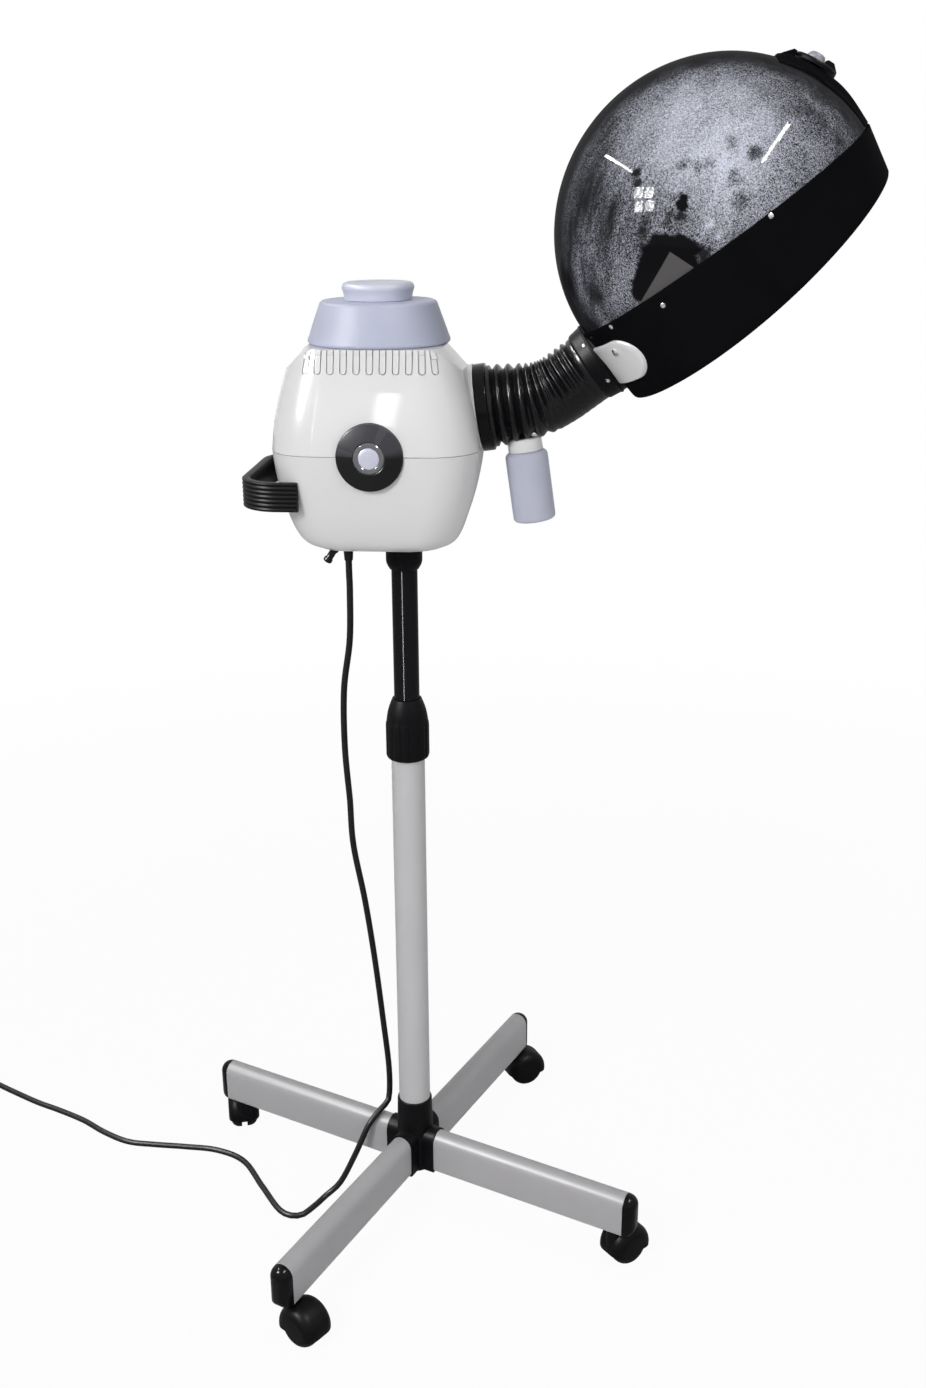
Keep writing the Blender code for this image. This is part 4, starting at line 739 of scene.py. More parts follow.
# ---- finishes


@dataclass(frozen=True)
class Finish:
    """A moulded, painted or metal surface, built once as a material.

    The plain numbers go on the shader's own sockets; colour, roughness and normal come from the shared effects.
    """

    name: str
    slot: Slot
    colour: Colour
    shade: Colour
    roughness: float
    spread: float = .06
    mottle_scale: float = 14.0
    mottle: float = .5
    grain_scale: float = 900.0
    grain_depth: float = .00002
    wear: float = 0.0
    wear_colour: Colour = (.35, .35, .36)
    dust: float = 0.0
    dust_colour: Colour = (.4, .39, .37)
    metallic: float = 0.0
    specular: float = .5
    coat: float = 0.0
    coat_roughness: float = .05
    subsurface: float = 0.0
    transmission: float = 0.0

    def material(self) -> bpy.types.Material:
        """The finish's material.

        Returns:
            The material, made on the first call.
        """
        made = bpy.data.materials.get(self.name)
        if made is None:
            made = bpy.data.materials.new(self.name)
            self.build(graph_of(made))
        return made

    def effect(self, g: Graph, effect: Effect, **inputs: Value) -> bpy.types.Node:
        """Places one of the shared effects with its own values.

        Args:
            g: The material's tree.
            effect: The effect.
            inputs: Its values.

        Returns:
            The effect's node.
        """
        node = g.add("Group")
        node.node_tree = effect.group()
        for key, value in inputs.items():
            g.feed(node.inputs[key], value)
        return node

    def shader(self, g: Graph) -> bpy.types.Node:
        """The shader with the finish's plain numbers, linked to the output.

        Args:
            g: The material's tree.

        Returns:
            The shader's node.
        """
        node = g.add("BsdfPrincipled", {"Metallic": self.metallic, "Specular IOR Level": self.specular,
            "Coat Weight": self.coat, "Coat Roughness": self.coat_roughness, "Subsurface Weight": self.subsurface,
            "Subsurface Radius": (.006, .006, .007), "Subsurface Scale": 1.0, "Transmission Weight": self.transmission})
        g.feed(g.add("OutputMaterial").inputs["Surface"], node.outputs["BSDF"])
        return node

    def build(self, g: Graph) -> None:
        """Fills the material's node tree.

        Args:
            g: The material's tree.
        """
        shader = self.shader(g)
        mottle = self.effect(g, Effect.MOTTLE, Colour=self.colour, Shade=self.shade, Scale=self.mottle_scale,
            Amount=self.mottle, Roughness=self.roughness, Spread=self.spread)
        colour = mottle.outputs["Colour"]
        if self.wear:
            mask = self.effect(g, Effect.WEAR, Amount=self.wear).outputs["Mask"]
            colour = g.blend(mask, colour, self.wear_colour)
        if self.dust:
            mask = self.effect(g, Effect.DUST, Amount=self.dust).outputs["Mask"]
            colour = g.blend(mask, colour, self.dust_colour)
        g.feed(shader.inputs["Base Color"], colour)
        g.feed(shader.inputs["Roughness"], mottle.outputs["Roughness"])
        grain = self.effect(g, Effect.GRAIN, Scale=self.grain_scale, Depth=self.grain_depth)
        g.feed(shader.inputs["Normal"], grain.outputs["Normal"])


@dataclass(frozen=True)
class SheenPaintedCone(Finish):
    """Black moulding with turned grooves; its upper part and two thin streaks are painted lighter, a painted sheen
    standing in for the grooves catching the light.
    """

    # Colour of the painted sheen over the upper part and along the streaks.
    lit: Colour = (.07, .07, .08)
    sheen_sector: float = 85.0
    # Directions of two thin streaks of painted sheen, in degrees round the cone.
    streaks: tuple[float, ...] = (62.0, 168.0)

    def build(self, g: Graph) -> None:
        """Fills the material's node tree.

        Args:
            g: The material's tree.
        """
        shader = self.shader(g)
        centre = BODY.translation + UP * Housing.parting
        flat = g.vector("MULTIPLY", g.vector("SUBTRACT", g.place(), centre), (1.0, 0.0, 1.0))
        out = g.vector("NORMALIZE", flat, (0, 0, 0))
        # Painted sheen: the colour turns lighter over the upper part and along two thin streaks.
        share = g.span(self.along(g, out, self.sheen_sector), .05, .42, 0.0, .8)
        for streak in self.streaks:
            share = g.maths("ADD", share, g.span(self.along(g, out, streak), .985, 1.0, 0.0, .75))
        rings = g.add("TexWave", {"Vector": flat, "Scale": 420.0, "Distortion": 0.0}, wave_type="RINGS",
            rings_direction="SPHERICAL").outputs["Fac"]
        share = g.maths("MULTIPLY", share, g.span(rings, 0.0, 1.0, .75, 1.0))
        g.feed(shader.inputs["Base Color"], g.blend(share, self.colour, self.lit))
        g.feed(shader.inputs["Roughness"], g.span(rings, 0.0, 1.0, self.roughness, self.roughness + self.spread))

    def along(self, g: Graph, out: Socket, turn: float) -> Socket:
        """How far a direction round the cone agrees with a turn in degrees."""
        return g.vector("DOT_PRODUCT", out, (cos(radians(turn)), 0.0, sin(radians(turn))), "Value")


@dataclass(frozen=True)
class Patch:
    """A mark in the dome's film of droplets, in the hood's frame."""

    centre: Triple
    radius: float
    soft: float
    weight: float = 1.0


def marked(*rows: Sequence[float]) -> tuple[Patch, ...]:
    """Marks from rows that give place, radius, softness and, where it isn't whole, weight."""
    return tuple(Patch(tuple(row[:3]), *row[3:]) for row in rows)


@dataclass(frozen=True)
class SmokeDome(Finish):
    """Smoked acrylic with a film of condensed droplets, wiped clear where water has run.

    The film is the same on both sides of the hood, so its masks are read at the near side's mirror image.
    Its colour also carries painted light: a painted pool of light round a spot on the near side, painted shade
    that fades the film towards the outline away from one facing direction, and a painted view of the far side
    through the wiped acrylic in a three-cornered patch on the rim.
    """

    droplet: Colour = (.74, .76, .87)
    # Colour of the painted view of the far side seen through the wiped acrylic.
    inside: Colour = (.105, .1, .1)
    # Direction where the film is full; away from it the film fades, painted shade along the dome's outline.
    painted_shade_axis: Triple = (-.05, -.996, .079)
    # Centre and reach of a painted pool of light on the film.
    painted_light_spot: Triple = (.03, -.128, .082)
    painted_light_reach: float = .108
    runs: Triple = (.77, 0.0, .64)
    wiped: tuple[Patch, ...] = ()
    thick: tuple[Patch, ...] = ()
    glimpse_peak: Point = (-.05, .0225)
    glimpse_foot: Point = (-.096, -.041)

    def build(self, g: Graph) -> None:
        """Fills the material's node tree.

        Args:
            g: The material's tree.
        """
        shader = self.shader(g)
        where, ragged = self.coordinates(g)
        # Painted shade: away from the facing direction the film fades, so the dome darkens towards its outline.
        turned = g.vector("DOT_PRODUCT", g.vector("NORMALIZE", where, (0, 0, 0)), self.painted_shade_axis, "Value")
        body = g.span(turned, .34, .6)
        # Painted pool of light: the film is brighter round a spot on the near side.
        painted_light_pool = g.span(g.vector("DISTANCE", where, self.painted_light_spot, "Value"), self.painted_light_reach, .012)
        reach = g.vector("DOT_PRODUCT", where, self.runs, "Value")
        along = g.add("VectorMath", {0: self.runs, "Scale": g.maths("MULTIPLY", reach, .75)}, operation="SCALE")
        runs = g.vector("SUBTRACT", where, along.outputs[0])
        streaks = g.span(g.noise(46.0, 4.0, .6, runs), .3, .72)
        clouds = g.span(g.noise(24.0, 5.0, .65, where), .32, .7)
        film = g.maths("MULTIPLY", painted_light_pool, .52)
        for part, weight in ((streaks, .2), (clouds, .07)):
            film = g.maths("ADD", film, g.maths("MULTIPLY", part, weight))
        film = g.maths("ADD", film, .01)
        film = g.maths("ADD", film, self.marks(g, ragged, self.thick))
        # The film is scaled down by the painted shade towards the outline.
        film = g.maths("MULTIPLY", film, g.maths("ADD", g.maths("MULTIPLY", body, .92), .08))
        wiped = self.marks(g, ragged, self.wiped)
        film = g.maths("MULTIPLY", film, g.maths("SUBTRACT", 1.0, wiped, True))
        fine = g.maths("SUBTRACT", g.noise(1150.0, 1.0, .5, where), .5)
        coarse = g.maths("SUBTRACT", g.noise(520.0, 2.0, .6, where), .5)
        speck = g.maths("ADD", g.maths("MULTIPLY", fine, 2.2), g.maths("MULTIPLY", coarse, 1.1))
        lively = g.maths("MULTIPLY", speck, g.span(film, 0.0, .22, 0.0, .95))
        share = g.maths("ADD", film, lively, True)
        colour = g.blend(share, self.colour, self.droplet)
        # Painted view of the far side through the wiped acrylic, in a three-cornered patch on the rim.
        pane = g.maths("MULTIPLY", self.glimpse(g, where), wiped)
        g.feed(shader.inputs["Base Color"], g.blend(pane, colour, self.inside))
        g.feed(shader.inputs["Roughness"], g.span(share, 0.0, .5, self.roughness, .5))

    def coordinates(self, g: Graph) -> tuple[Socket, Socket]:
        """The hood's own coordinates on the near side, plain and with ragged edges.

        Args:
            g: The material's tree.

        Returns:
            Both of them.
        """
        turn = HOOD.inverted()
        local = g.add("Mapping", {"Vector": g.place(), "Location": turn.to_translation(), "Rotation": turn.to_euler()})
        split = g.add("SeparateXYZ", {0: local.outputs[0]}).outputs
        near = g.maths("MULTIPLY", g.maths("ABSOLUTE", split["Y"]), -1.0)
        where = g.add("CombineXYZ", {"X": split["X"], "Y": near, "Z": split["Z"]}).outputs[0]
        cloud = g.add("TexNoise", {"Vector": where, "Scale": 95.0, "Detail": 4.0}).outputs["Color"]
        shift = g.add("VectorMath", {0: g.vector("SUBTRACT", cloud, (.5, .5, .5)), "Scale": .012},
            operation="SCALE").outputs[0]
        return where, g.vector("ADD", where, shift)

    def glimpse(self, g: Graph, where: Socket) -> Socket:
        """A three-cornered mask on the rim, where a painted view of the far side through the wiped acrylic goes.

        Args:
            g: The material's tree.
            where: Coordinates in the hood.

        Returns:
            The mask.
        """
        split = g.add("SeparateXYZ", {0: where}).outputs
        peak, rise = self.glimpse_peak
        mask: Value = 1.0
        for foot in self.glimpse_foot:
            line = g.maths("MULTIPLY", g.maths("SUBTRACT", split["X"], foot), rise / (peak - foot))
            mask = g.maths("MULTIPLY", mask, g.span(g.maths("SUBTRACT", line, split["Z"]), -.0006, .0006))
        return mask

    def marks(self, g: Graph, where: Socket, patches: Sequence[Patch]) -> Value:
        """The strongest of several soft round marks at a place.

        Args:
            g: The material's tree.
            where: Coordinates in the hood.
            patches: The marks.

        Returns:
            Its strength.
        """
        strongest: Value = 0.0
        for patch in patches:
            away = g.vector("DISTANCE", where, patch.centre, "Value")
            mark = g.span(away, patch.radius + patch.soft, max(patch.radius - patch.soft, 0.0), 0.0, patch.weight)
            strongest = g.maths("MAXIMUM", strongest, mark)
        return strongest


IVORY = Finish("ivory_abs_gloss", Slot.IVORY, (.775, .773, .78), (.755, .75, .745), .24, .05, 9.0, .6, 700.0,
    .000012, .1, (.7, .67, .6), .04, (.55, .53, .49), specular=.15, coat=.35)
GREY = Finish("grey_enamel_paint", Slot.GREY, (.6, .59, .605), (.56, .55, .565), .4, .08, 9.0, .5, 520.0, .00003,
    .12, (.58, .57, .57), .1, (.44, .43, .42), specular=.3)
# Darker copy of the same grey enamel for the legs: painted shade, since less light reaches them near the floor.
LEG_GREY_SHADED = replace(GREY, name="grey_enamel_paint_legs", colour=(.49, .48, .495), shade=(.45, .44, .455))
BLACK_PAINT = Finish("black_enamel_paint", Slot.BLACK_ENAMEL, (.0065, .0065, .008), (.008, .008, .01), .1, .02,
    16.0, .4, 600.0, .000002, specular=.1)
BLACK_GLOSS = Finish("black_gloss_moulding", Slot.BLACK_GLOSS, (.004, .004, .005), (.006, .006, .007), .18, .06,
    18.0, .6, 800.0, .000006, .06, (.05, .05, .05), .02, specular=.09)
BLACK_MATT = Finish("black_matt_moulding", Slot.BLACK_MATT, (.0045, .0045, .0055), (.007, .007, .008), .4, .1, 20.0,
    .6, 1500.0, .00003, .1, (.04, .04, .04), .04, specular=.06)
BEZEL = SheenPaintedCone("black_bezel_turned", Slot.BLACK_GLOSS, (.01, .01, .011), (.014, .014, .015), .26, .1, specular=.14)
SKIRT = Finish("black_skirt_gloss", Slot.BLACK_GLOSS, (.0048, .0048, .006), (.0062, .0062, .0075), .12, .04, 14.0,
    .6, 500.0, .000004, .06, (.05, .05, .05), specular=0.0, coat=.015)
RUBBER = Finish("black_rubber_hose", Slot.RUBBER, (.0045, .0045, .0055), (.008, .008, .009), .26, .1, 24.0, .6,
    1100.0, .00001, .12, (.05, .05, .05), .03, specular=.2)
LEAD_SKIN = Finish("black_lead_skin", Slot.RUBBER, (.006, .006, .007), (.012, .012, .013), .38, .1, 30.0, .6,
    1300.0, .00003, dust=.08, specular=.2)
MILKY = Finish("milky_polythene_moulding", Slot.MILKY, (.53, .555, .69), (.49, .515, .65), .46, .08, 12.0, .5,
    420.0, .00003, specular=.1, subsurface=.3)
MILKY_BOTTLE = Finish("milky_bottle_moulding", Slot.MILKY, (.53, .545, .67), (.49, .505, .63), .44, .08, 16.0, .5,
    420.0, .00003, specular=.12, subsurface=.25)
MILKY_CAP = Finish("milky_cap_moulding", Slot.MILKY, (.66, .675, .79), (.62, .635, .75), .42, .08, 16.0, .5, 420.0,
    .00003, dust=.05, specular=.2, subsurface=.25)
LILAC = Finish("lilac_plastic_satin", Slot.LILAC, (.6, .61, .72), (.55, .56, .67), .36, .08, 40.0, .5, 900.0, .00002)
GRIP_LILAC = Finish("lilac_grip_worn", Slot.LILAC, (.3, .3, .36), (.24, .24, .29), .4, .08, 60.0, .6, 900.0, .00003,
    .8, (.8, .8, .84), specular=.3)
RING_GREY = Finish("grey_lens_ring", Slot.CLEAR, (.16, .16, .17), (.12, .12, .13), .16, .05, 60.0, .5, 900.0, .00001)
CLEAR = Finish("clear_plastic_lens", Slot.CLEAR, (.62, .62, .66), (.55, .55, .6), .1, .03, 40.0, .5, 900.0, .000006,
    transmission=.4)
STEEL = Finish("bright_steel_turned", Slot.STEEL, (.62, .62, .64), (.5, .5, .52), .24, .12, 60.0, .6, 1600.0,
    .00001, metallic=1.0)
NYLON = Finish("natural_nylon_moulding", Slot.NYLON, (.7, .68, .62), (.62, .6, .54), .46, .08, 30.0, .5, 900.0, .00003)
DOME = SmokeDome("smoke_acrylic_misted", Slot.SMOKE, (.006, .006, .007), (.01, .01, .011), .08, specular=0.0,
    coat=.07, coat_roughness=.012, wiped=marked((-.084, -.129, .008, .014, .002), (-.074, -.135, .013, .016, .002),
    (-.062, -.14, .024, .017, .002), (-.053, -.143, .026, .015, .002), (-.061, -.141, .007, .017, .002),
    (-.043, -.146, .018, .014, .002), (-.047, -.147, .005, .014, .002), (-.033, -.15, .012, .008, .003),
    (-.028, -.151, .004, .006, .003, .9), (-.017, -.145, .051, .0055, .002), (-.021, -.145, .047, .0065, .002),
    (-.027, -.145, .041, .006, .003, .9), (-.033, -.143, .048, .005, .003, .8),
    (-.038, -.142, .044, .005, .003, .8), (-.025, -.142, .056, .004, .003, .6),
    (-.0356, -.1201, .0913, .0045, .002, .95), (-.04, -.123, .085, .004, .002, .9),
    (-.059, -.134, .048, .004, .003, .8), (-.0532, -.135, .0544, .003, .003, .6),
    (.0504, -.1393, .0456, .0065, .003, .85), (.0259, -.1476, .0395, .006, .004, .6),
    (.02, -.152, .022, .0075, .006, .6), (.0399, -.1357, .0634, .005, .005, .65),
    (.0938, -.1104, .0551, .009, .008, .4), (-.0018, -.1362, .0739, .004, .004, .7),
    (.0071, -.1404, .0653, .005, .005, .65), (.016, -.14, .06, .0045, .004, .65)),
    thick=marked((.03, -.15, .012, .06, .045, .14), (-.0112, -.1529, .0229, .004, .004, .6),
    (-.0092, -.1544, .0096, .003, .003, .45)))


# ---- putting a piece on the part


def show(obj: Obj, finish: Finish, body: Optional[str], *nodes: str) -> None:
    """Dresses a new piece, sets it riding on a body and hides the CAD nodes that it stands for.

    Args:
        obj: The piece.
        finish: Its finish.
        body: The CAD body it rides on, or None, which leaves it on no body.
        nodes: CAD nodes that it replaces.
    """
    obj.data.materials.clear()
    obj.data.materials.append(finish.material())
    if body is not None:
        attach(obj, body)
    if nodes:
        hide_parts(*nodes)
    log.info("piece %s on %s in %s", obj.name, body, finish.name)


def dress(node: str, finish: Finish, rounding: float = 0.0) -> None:
    """Gives a CAD node that stays in view its finish, smooth shading and rounded edges.

    Args:
        node: The node's name.
        finish: Its finish.
        rounding: Width of its edge rounding, or nought for none.
    """
    obj = frame["nodes"][node]
    obj.data.materials.clear()
    obj.data.materials.append(finish.material())
    obj.data.shade_smooth()
    weld = obj.modifiers.new("welded", "WELD")
    weld.merge_threshold = 1e-6
    if rounding:
        bevel(obj, rounding, NODE_EDGE)
    even = obj.modifiers.new("even_normals", "WEIGHTED_NORMAL")
    even.weight = 90
    log.info("node %s in %s", node, finish.name)


def screw(name: str, place: Matrix, radius: float, body: str, turn: float = 25.0) -> None:
    """A slotted screw head standing on a face.

    Args:
        name: The screw's name.
        place: Frame on the face, with Z out of it.
        radius: The head's radius.
        body: The CAD body it rides on.
        turn: How the slot lies, in degrees.
    """
    rise = radius * .45
    head = lathe(name, [(0, rise), (radius * .55, rise * .94), (radius * .9, rise * .55), (radius, 0),
        (radius, -radius * .3), (0, -radius * .3)], place, 24)
    slot = block(name + "_slot", (-radius * 1.2, -radius * .13, rise * .35), (radius * 1.2, radius * .13, rise * 2),
        place @ turned(turn, "Z"))
    show(carve(head, [slot]), STEEL, body)


# ---- rolling base


@dataclass(frozen=True)
class RollingBase:
    """Four legs with bullet caps and hooded twin-wheel casters round a hub."""

    count: int = 4
    width: float = .025
    height: float = .049
    foot: float = .004
    bottom: float = .0497
    start: float = .0315
    end: float = .27
    cap_length: float = .0125
    cap_draw: float = .0108
    hub_top: float = .1387
    hub_top_radius: float = .02
    hub_bottom_radius: float = .0222
    arm_lip: float = .002
    hub_floor: float = .01
    pole_radius: float = .018
    hood_radius: float = .0262
    hood_side: float = .0192
    hood_wall: float = .002
    hood_edge: float = -.003
    wheel_radius: float = .0222
    wheel_side: float = .0165
    web_half: float = .0031
    axle_radius: float = .003
    boss_radius: float = .0085

    def build(self) -> None:
        """Builds the whole base."""
        self.hub()
        for k in range(1, self.count + 1):
            self.leg(k)
            self.caster(k)

    def leg_frame(self, k: int) -> Matrix:
        """Frame of a leg: X across it, Y up, Z along it from the pole axis.

        Args:
            k: Number of the leg.

        Returns:
            The frame.
        """
        along = Vector(joint_named(f"caster_swivel_{k}")["pos_m"]) - POLE.translation
        along.z = 0.0
        along.normalize()
        return POLE @ Matrix((UP.cross(along), UP, along)).transposed().to_4x4()

    def arch(self, grow: float = 0.0) -> list[Point]:
        """The leg's section, grown outward or, below nought, drawn in.

        Args:
            grow: How far it grows.

        Returns:
            The section's points.
        """
        half = self.width / 2 + grow
        low = self.bottom - grow
        corner = min(self.foot, half * .8)
        points = arc(half - corner, low + corner, corner, -90, 0, 4)
        points += arc(0, self.bottom + self.height - self.width / 2, half, 0, 180, 24)
        return points + arc(-half + corner, low + corner, corner, 180, 270, 4)

    def hub(self) -> None:
        """Upright hub with an arm to each leg."""
        low = self.bottom - self.arm_lip
        side = [(0, self.hub_top), (self.hub_top_radius, self.hub_top, .003), (self.hub_bottom_radius, low), (0, low)]
        hub = lathe("base_hub_casting", side, POLE, 56)
        reach = self.start - GAP
        arms = [prism(f"hub_arms_{k}", self.arch(self.arm_lip), -reach, reach, self.leg_frame(k)) for k in (1, 2)]
        carve(hub, arms, "UNION")
        bore = self.pole_radius + GAP
        floor = self.bottom + self.hub_floor
        carve(hub, [rod("hub_bore", bore, floor, self.hub_top + GAP, POLE, 56)])
        show(round_edges(hub, .0012, 30, 3), BLACK_MATT, "base", "base_hub")

    def leg(self, k: int) -> None:
        """One leg tube and the bullet cap on its end.

        Args:
            k: Number of the leg.
        """
        place = self.leg_frame(k)
        show(prism(f"leg_tube_{k}", self.arch(), self.start, self.end, place), LEG_GREY_SHADED, "base", f"leg_{k}")
        rings = []
        for share in (0.0, .12, .25, .38, .5, .62, .73, .82, .89, .94, .975, .995):
            draw = self.cap_draw * (1 - sqrt(1 - share ** 2.2))
            depth = self.end + GAP + self.cap_length * share
            rings.append([place @ at(x, y, depth) for x, y in self.arch(-draw)])
        show(skin(f"leg_bullet_{k}", rings), BLACK_GLOSS, "base", f"leg_cap_{k}")

    def barrel(self, radius: float, side: float) -> list[Point]:
        """Half of a drum's section: its face rounded over to the rim.

        Args:
            radius: Radius of the rim.
            side: Distance of the face from the middle.

        Returns:
            The section's points.
        """
        points = [(0.0, side)]
        for i in range(9):
            a = radians(90 * i / 8)
            points.append((radius * (.58 + .42 * sin(a)), side * (.34 + .66 * cos(a))))
        return points

    def drum(self, name: str, half: list[Point], place: Matrix) -> Obj:
        """A drum turned from half of its section and the mirror image of it."""
        return lathe(name, half + [(r, -w) for r, w in reversed(half)], place, 48)

    def caster(self, k: int) -> None:
        """One hooded caster and its pair of wheels.

        Args:
            k: Number of the caster.
        """
        roll = joint_named(f"caster_roll_{k}")
        axle = aimed(roll["pos_m"], roll["axis"])
        level = shifted(*roll["pos_m"])
        hood = self.drum(f"caster_shell_{k}", self.barrel(self.hood_radius, self.hood_side), axle)
        space = self.drum("caster_space", self.barrel(self.hood_radius - self.hood_wall,
            self.hood_side - self.hood_wall), axle)
        reach = 2 * self.hood_radius
        mouth = block("caster_mouth", (-reach, -reach, -reach), (reach, reach, self.hood_edge), level)
        carve(hood, [space, mouth])
        stem = Vector(joint_named(f"caster_swivel_{k}")["pos_m"])
        top = self.bottom - 2 * GAP
        foot = roll["pos_m"][2] + 2 * self.hood_wall
        boss = lathe("caster_boss", [(0, top), (self.boss_radius, top, .001), (self.boss_radius, foot), (0, foot)],
            shifted(stem.x, stem.y), 32)
        trim = self.drum("caster_trim", self.barrel(self.hood_radius - self.hood_wall / 2,
            self.hood_side - self.hood_wall / 2), axle)
        hood = join(f"caster_shell_{k}", [hood, carve(boss, [trim])])
        show(hood, BLACK_MATT, f"caster_{k}", f"caster_hood_{k}")
        half = self.barrel(self.wheel_radius, self.wheel_side)
        half += [(self.wheel_radius, self.web_half + GAP), (self.axle_radius, self.web_half)]
        show(self.drum(f"caster_twin_{k}", half, axle), BLACK_MATT, f"wheels_{k}", f"caster_wheels_{k}")


# ---- column


@dataclass(frozen=True)
class Column:
    """Two telescoping poles, the fluted twist clamp and the socket under the body."""

    pole_radius: float = .018
    mast_radius: float = .0135
    wall: float = .0015
    grip_bottom: float = .5675
    grip_shoulder: float = .6094
    grip_top: float = .6345
    grip_radius: float = .0232
    grip_top_radius: float = .0155
    flutes: int = 14
    flute_points: int = 8
    flute_depth: float = .0012
    collet_top: float = .6116
    socket_radius: float = .0188
    socket_bottom: float = .776
    socket_taper: float = .0065
    socket_top: float = .8484

    def build(self) -> None:
        """Builds the column."""
        for name, radius, finish, body, node in (("column_lower", self.pole_radius, GREY, "base", "lower_pole"),
                ("column_upper", self.mast_radius, BLACK_PAINT, "mast", "upper_pole")):
            low, high = (corner.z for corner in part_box(node))
            bore = radius - self.wall
            profile = [(bore, high), (radius, high), (radius, low), (bore, low)]
            show(lathe(name, profile, POLE, 72, True), finish, body, node)
        self.grip()
        self.socket()
        dress("clamp_collet", NYLON)
        dress("pole_bush", NYLON)

    def grip_ring(self, z: float, radius: float, fluted: float) -> list[Vector]:
        """One ring of the clamp, with its grooves cut to a share of their depth.

        Args:
            z: Height of the ring.
            radius: Its radius between grooves.
            fluted: Share of the grooves' depth.

        Returns:
            The ring's points.
        """
        count = self.flutes * self.flute_points
        points = []
        for i in range(count):
            a = 2 * pi * i / count
            groove = max(0.0, cos(self.flutes * a)) ** 3 * self.flute_depth * fluted
            points.append(POLE @ at((radius - groove) * cos(a), (radius - groove) * sin(a), z))
        return points

    def grip(self) -> None:
        """Fluted clamp with a domed top, bored for both poles."""
        low, shoulder, top = self.grip_bottom, self.grip_shoulder, self.grip_top
        big, small = self.grip_radius, self.grip_top_radius
        rows = [(low, big - .003, 0.0), (low + .001, big - .0012, .1), (low + .0028, big - .0002, .7),
            (low + .0045, big, 1.0), (shoulder - .006, big, 1.0), (shoulder - .002, big - .0003, .8)]
        for share in (0.0, .12, .28, .46, .64, .82, .94, 1.0):
            bulge = .0012 * sin(pi * share)
            rows.append((shoulder + (top - shoulder) * share, big - .0009 + (small - big + .0009) * share + bulge,
                .5 * max(0.0, 1 - 5 * share)))
        throat, chamber = self.mast_radius + 2 * GAP, self.pole_radius + GAP
        rows += [(top, throat, 0.0), (self.collet_top, throat, 0.0), (self.collet_top, chamber, 0.0),
            (low, chamber, 0.0)]
        rings = [self.grip_ring(*row) for row in rows]
        show(skin("clamp_fluted", rings, wrap=True), BLACK_MATT, "clamp", "clamp_grip")

    def socket(self) -> None:
        """Sleeve under the body that the upper pole stands in."""
        bore = self.mast_radius + GAP
        low = self.socket_bottom
        profile = [(bore, self.socket_top), (self.socket_radius, self.socket_top),
            (self.socket_radius, low + self.socket_taper, .004), (bore + .0012, low, .001), (bore, low)]
        show(lathe("column_socket", profile, POLE, 64, True), BLACK_MATT, "head", "pole_socket")


# ---- housing


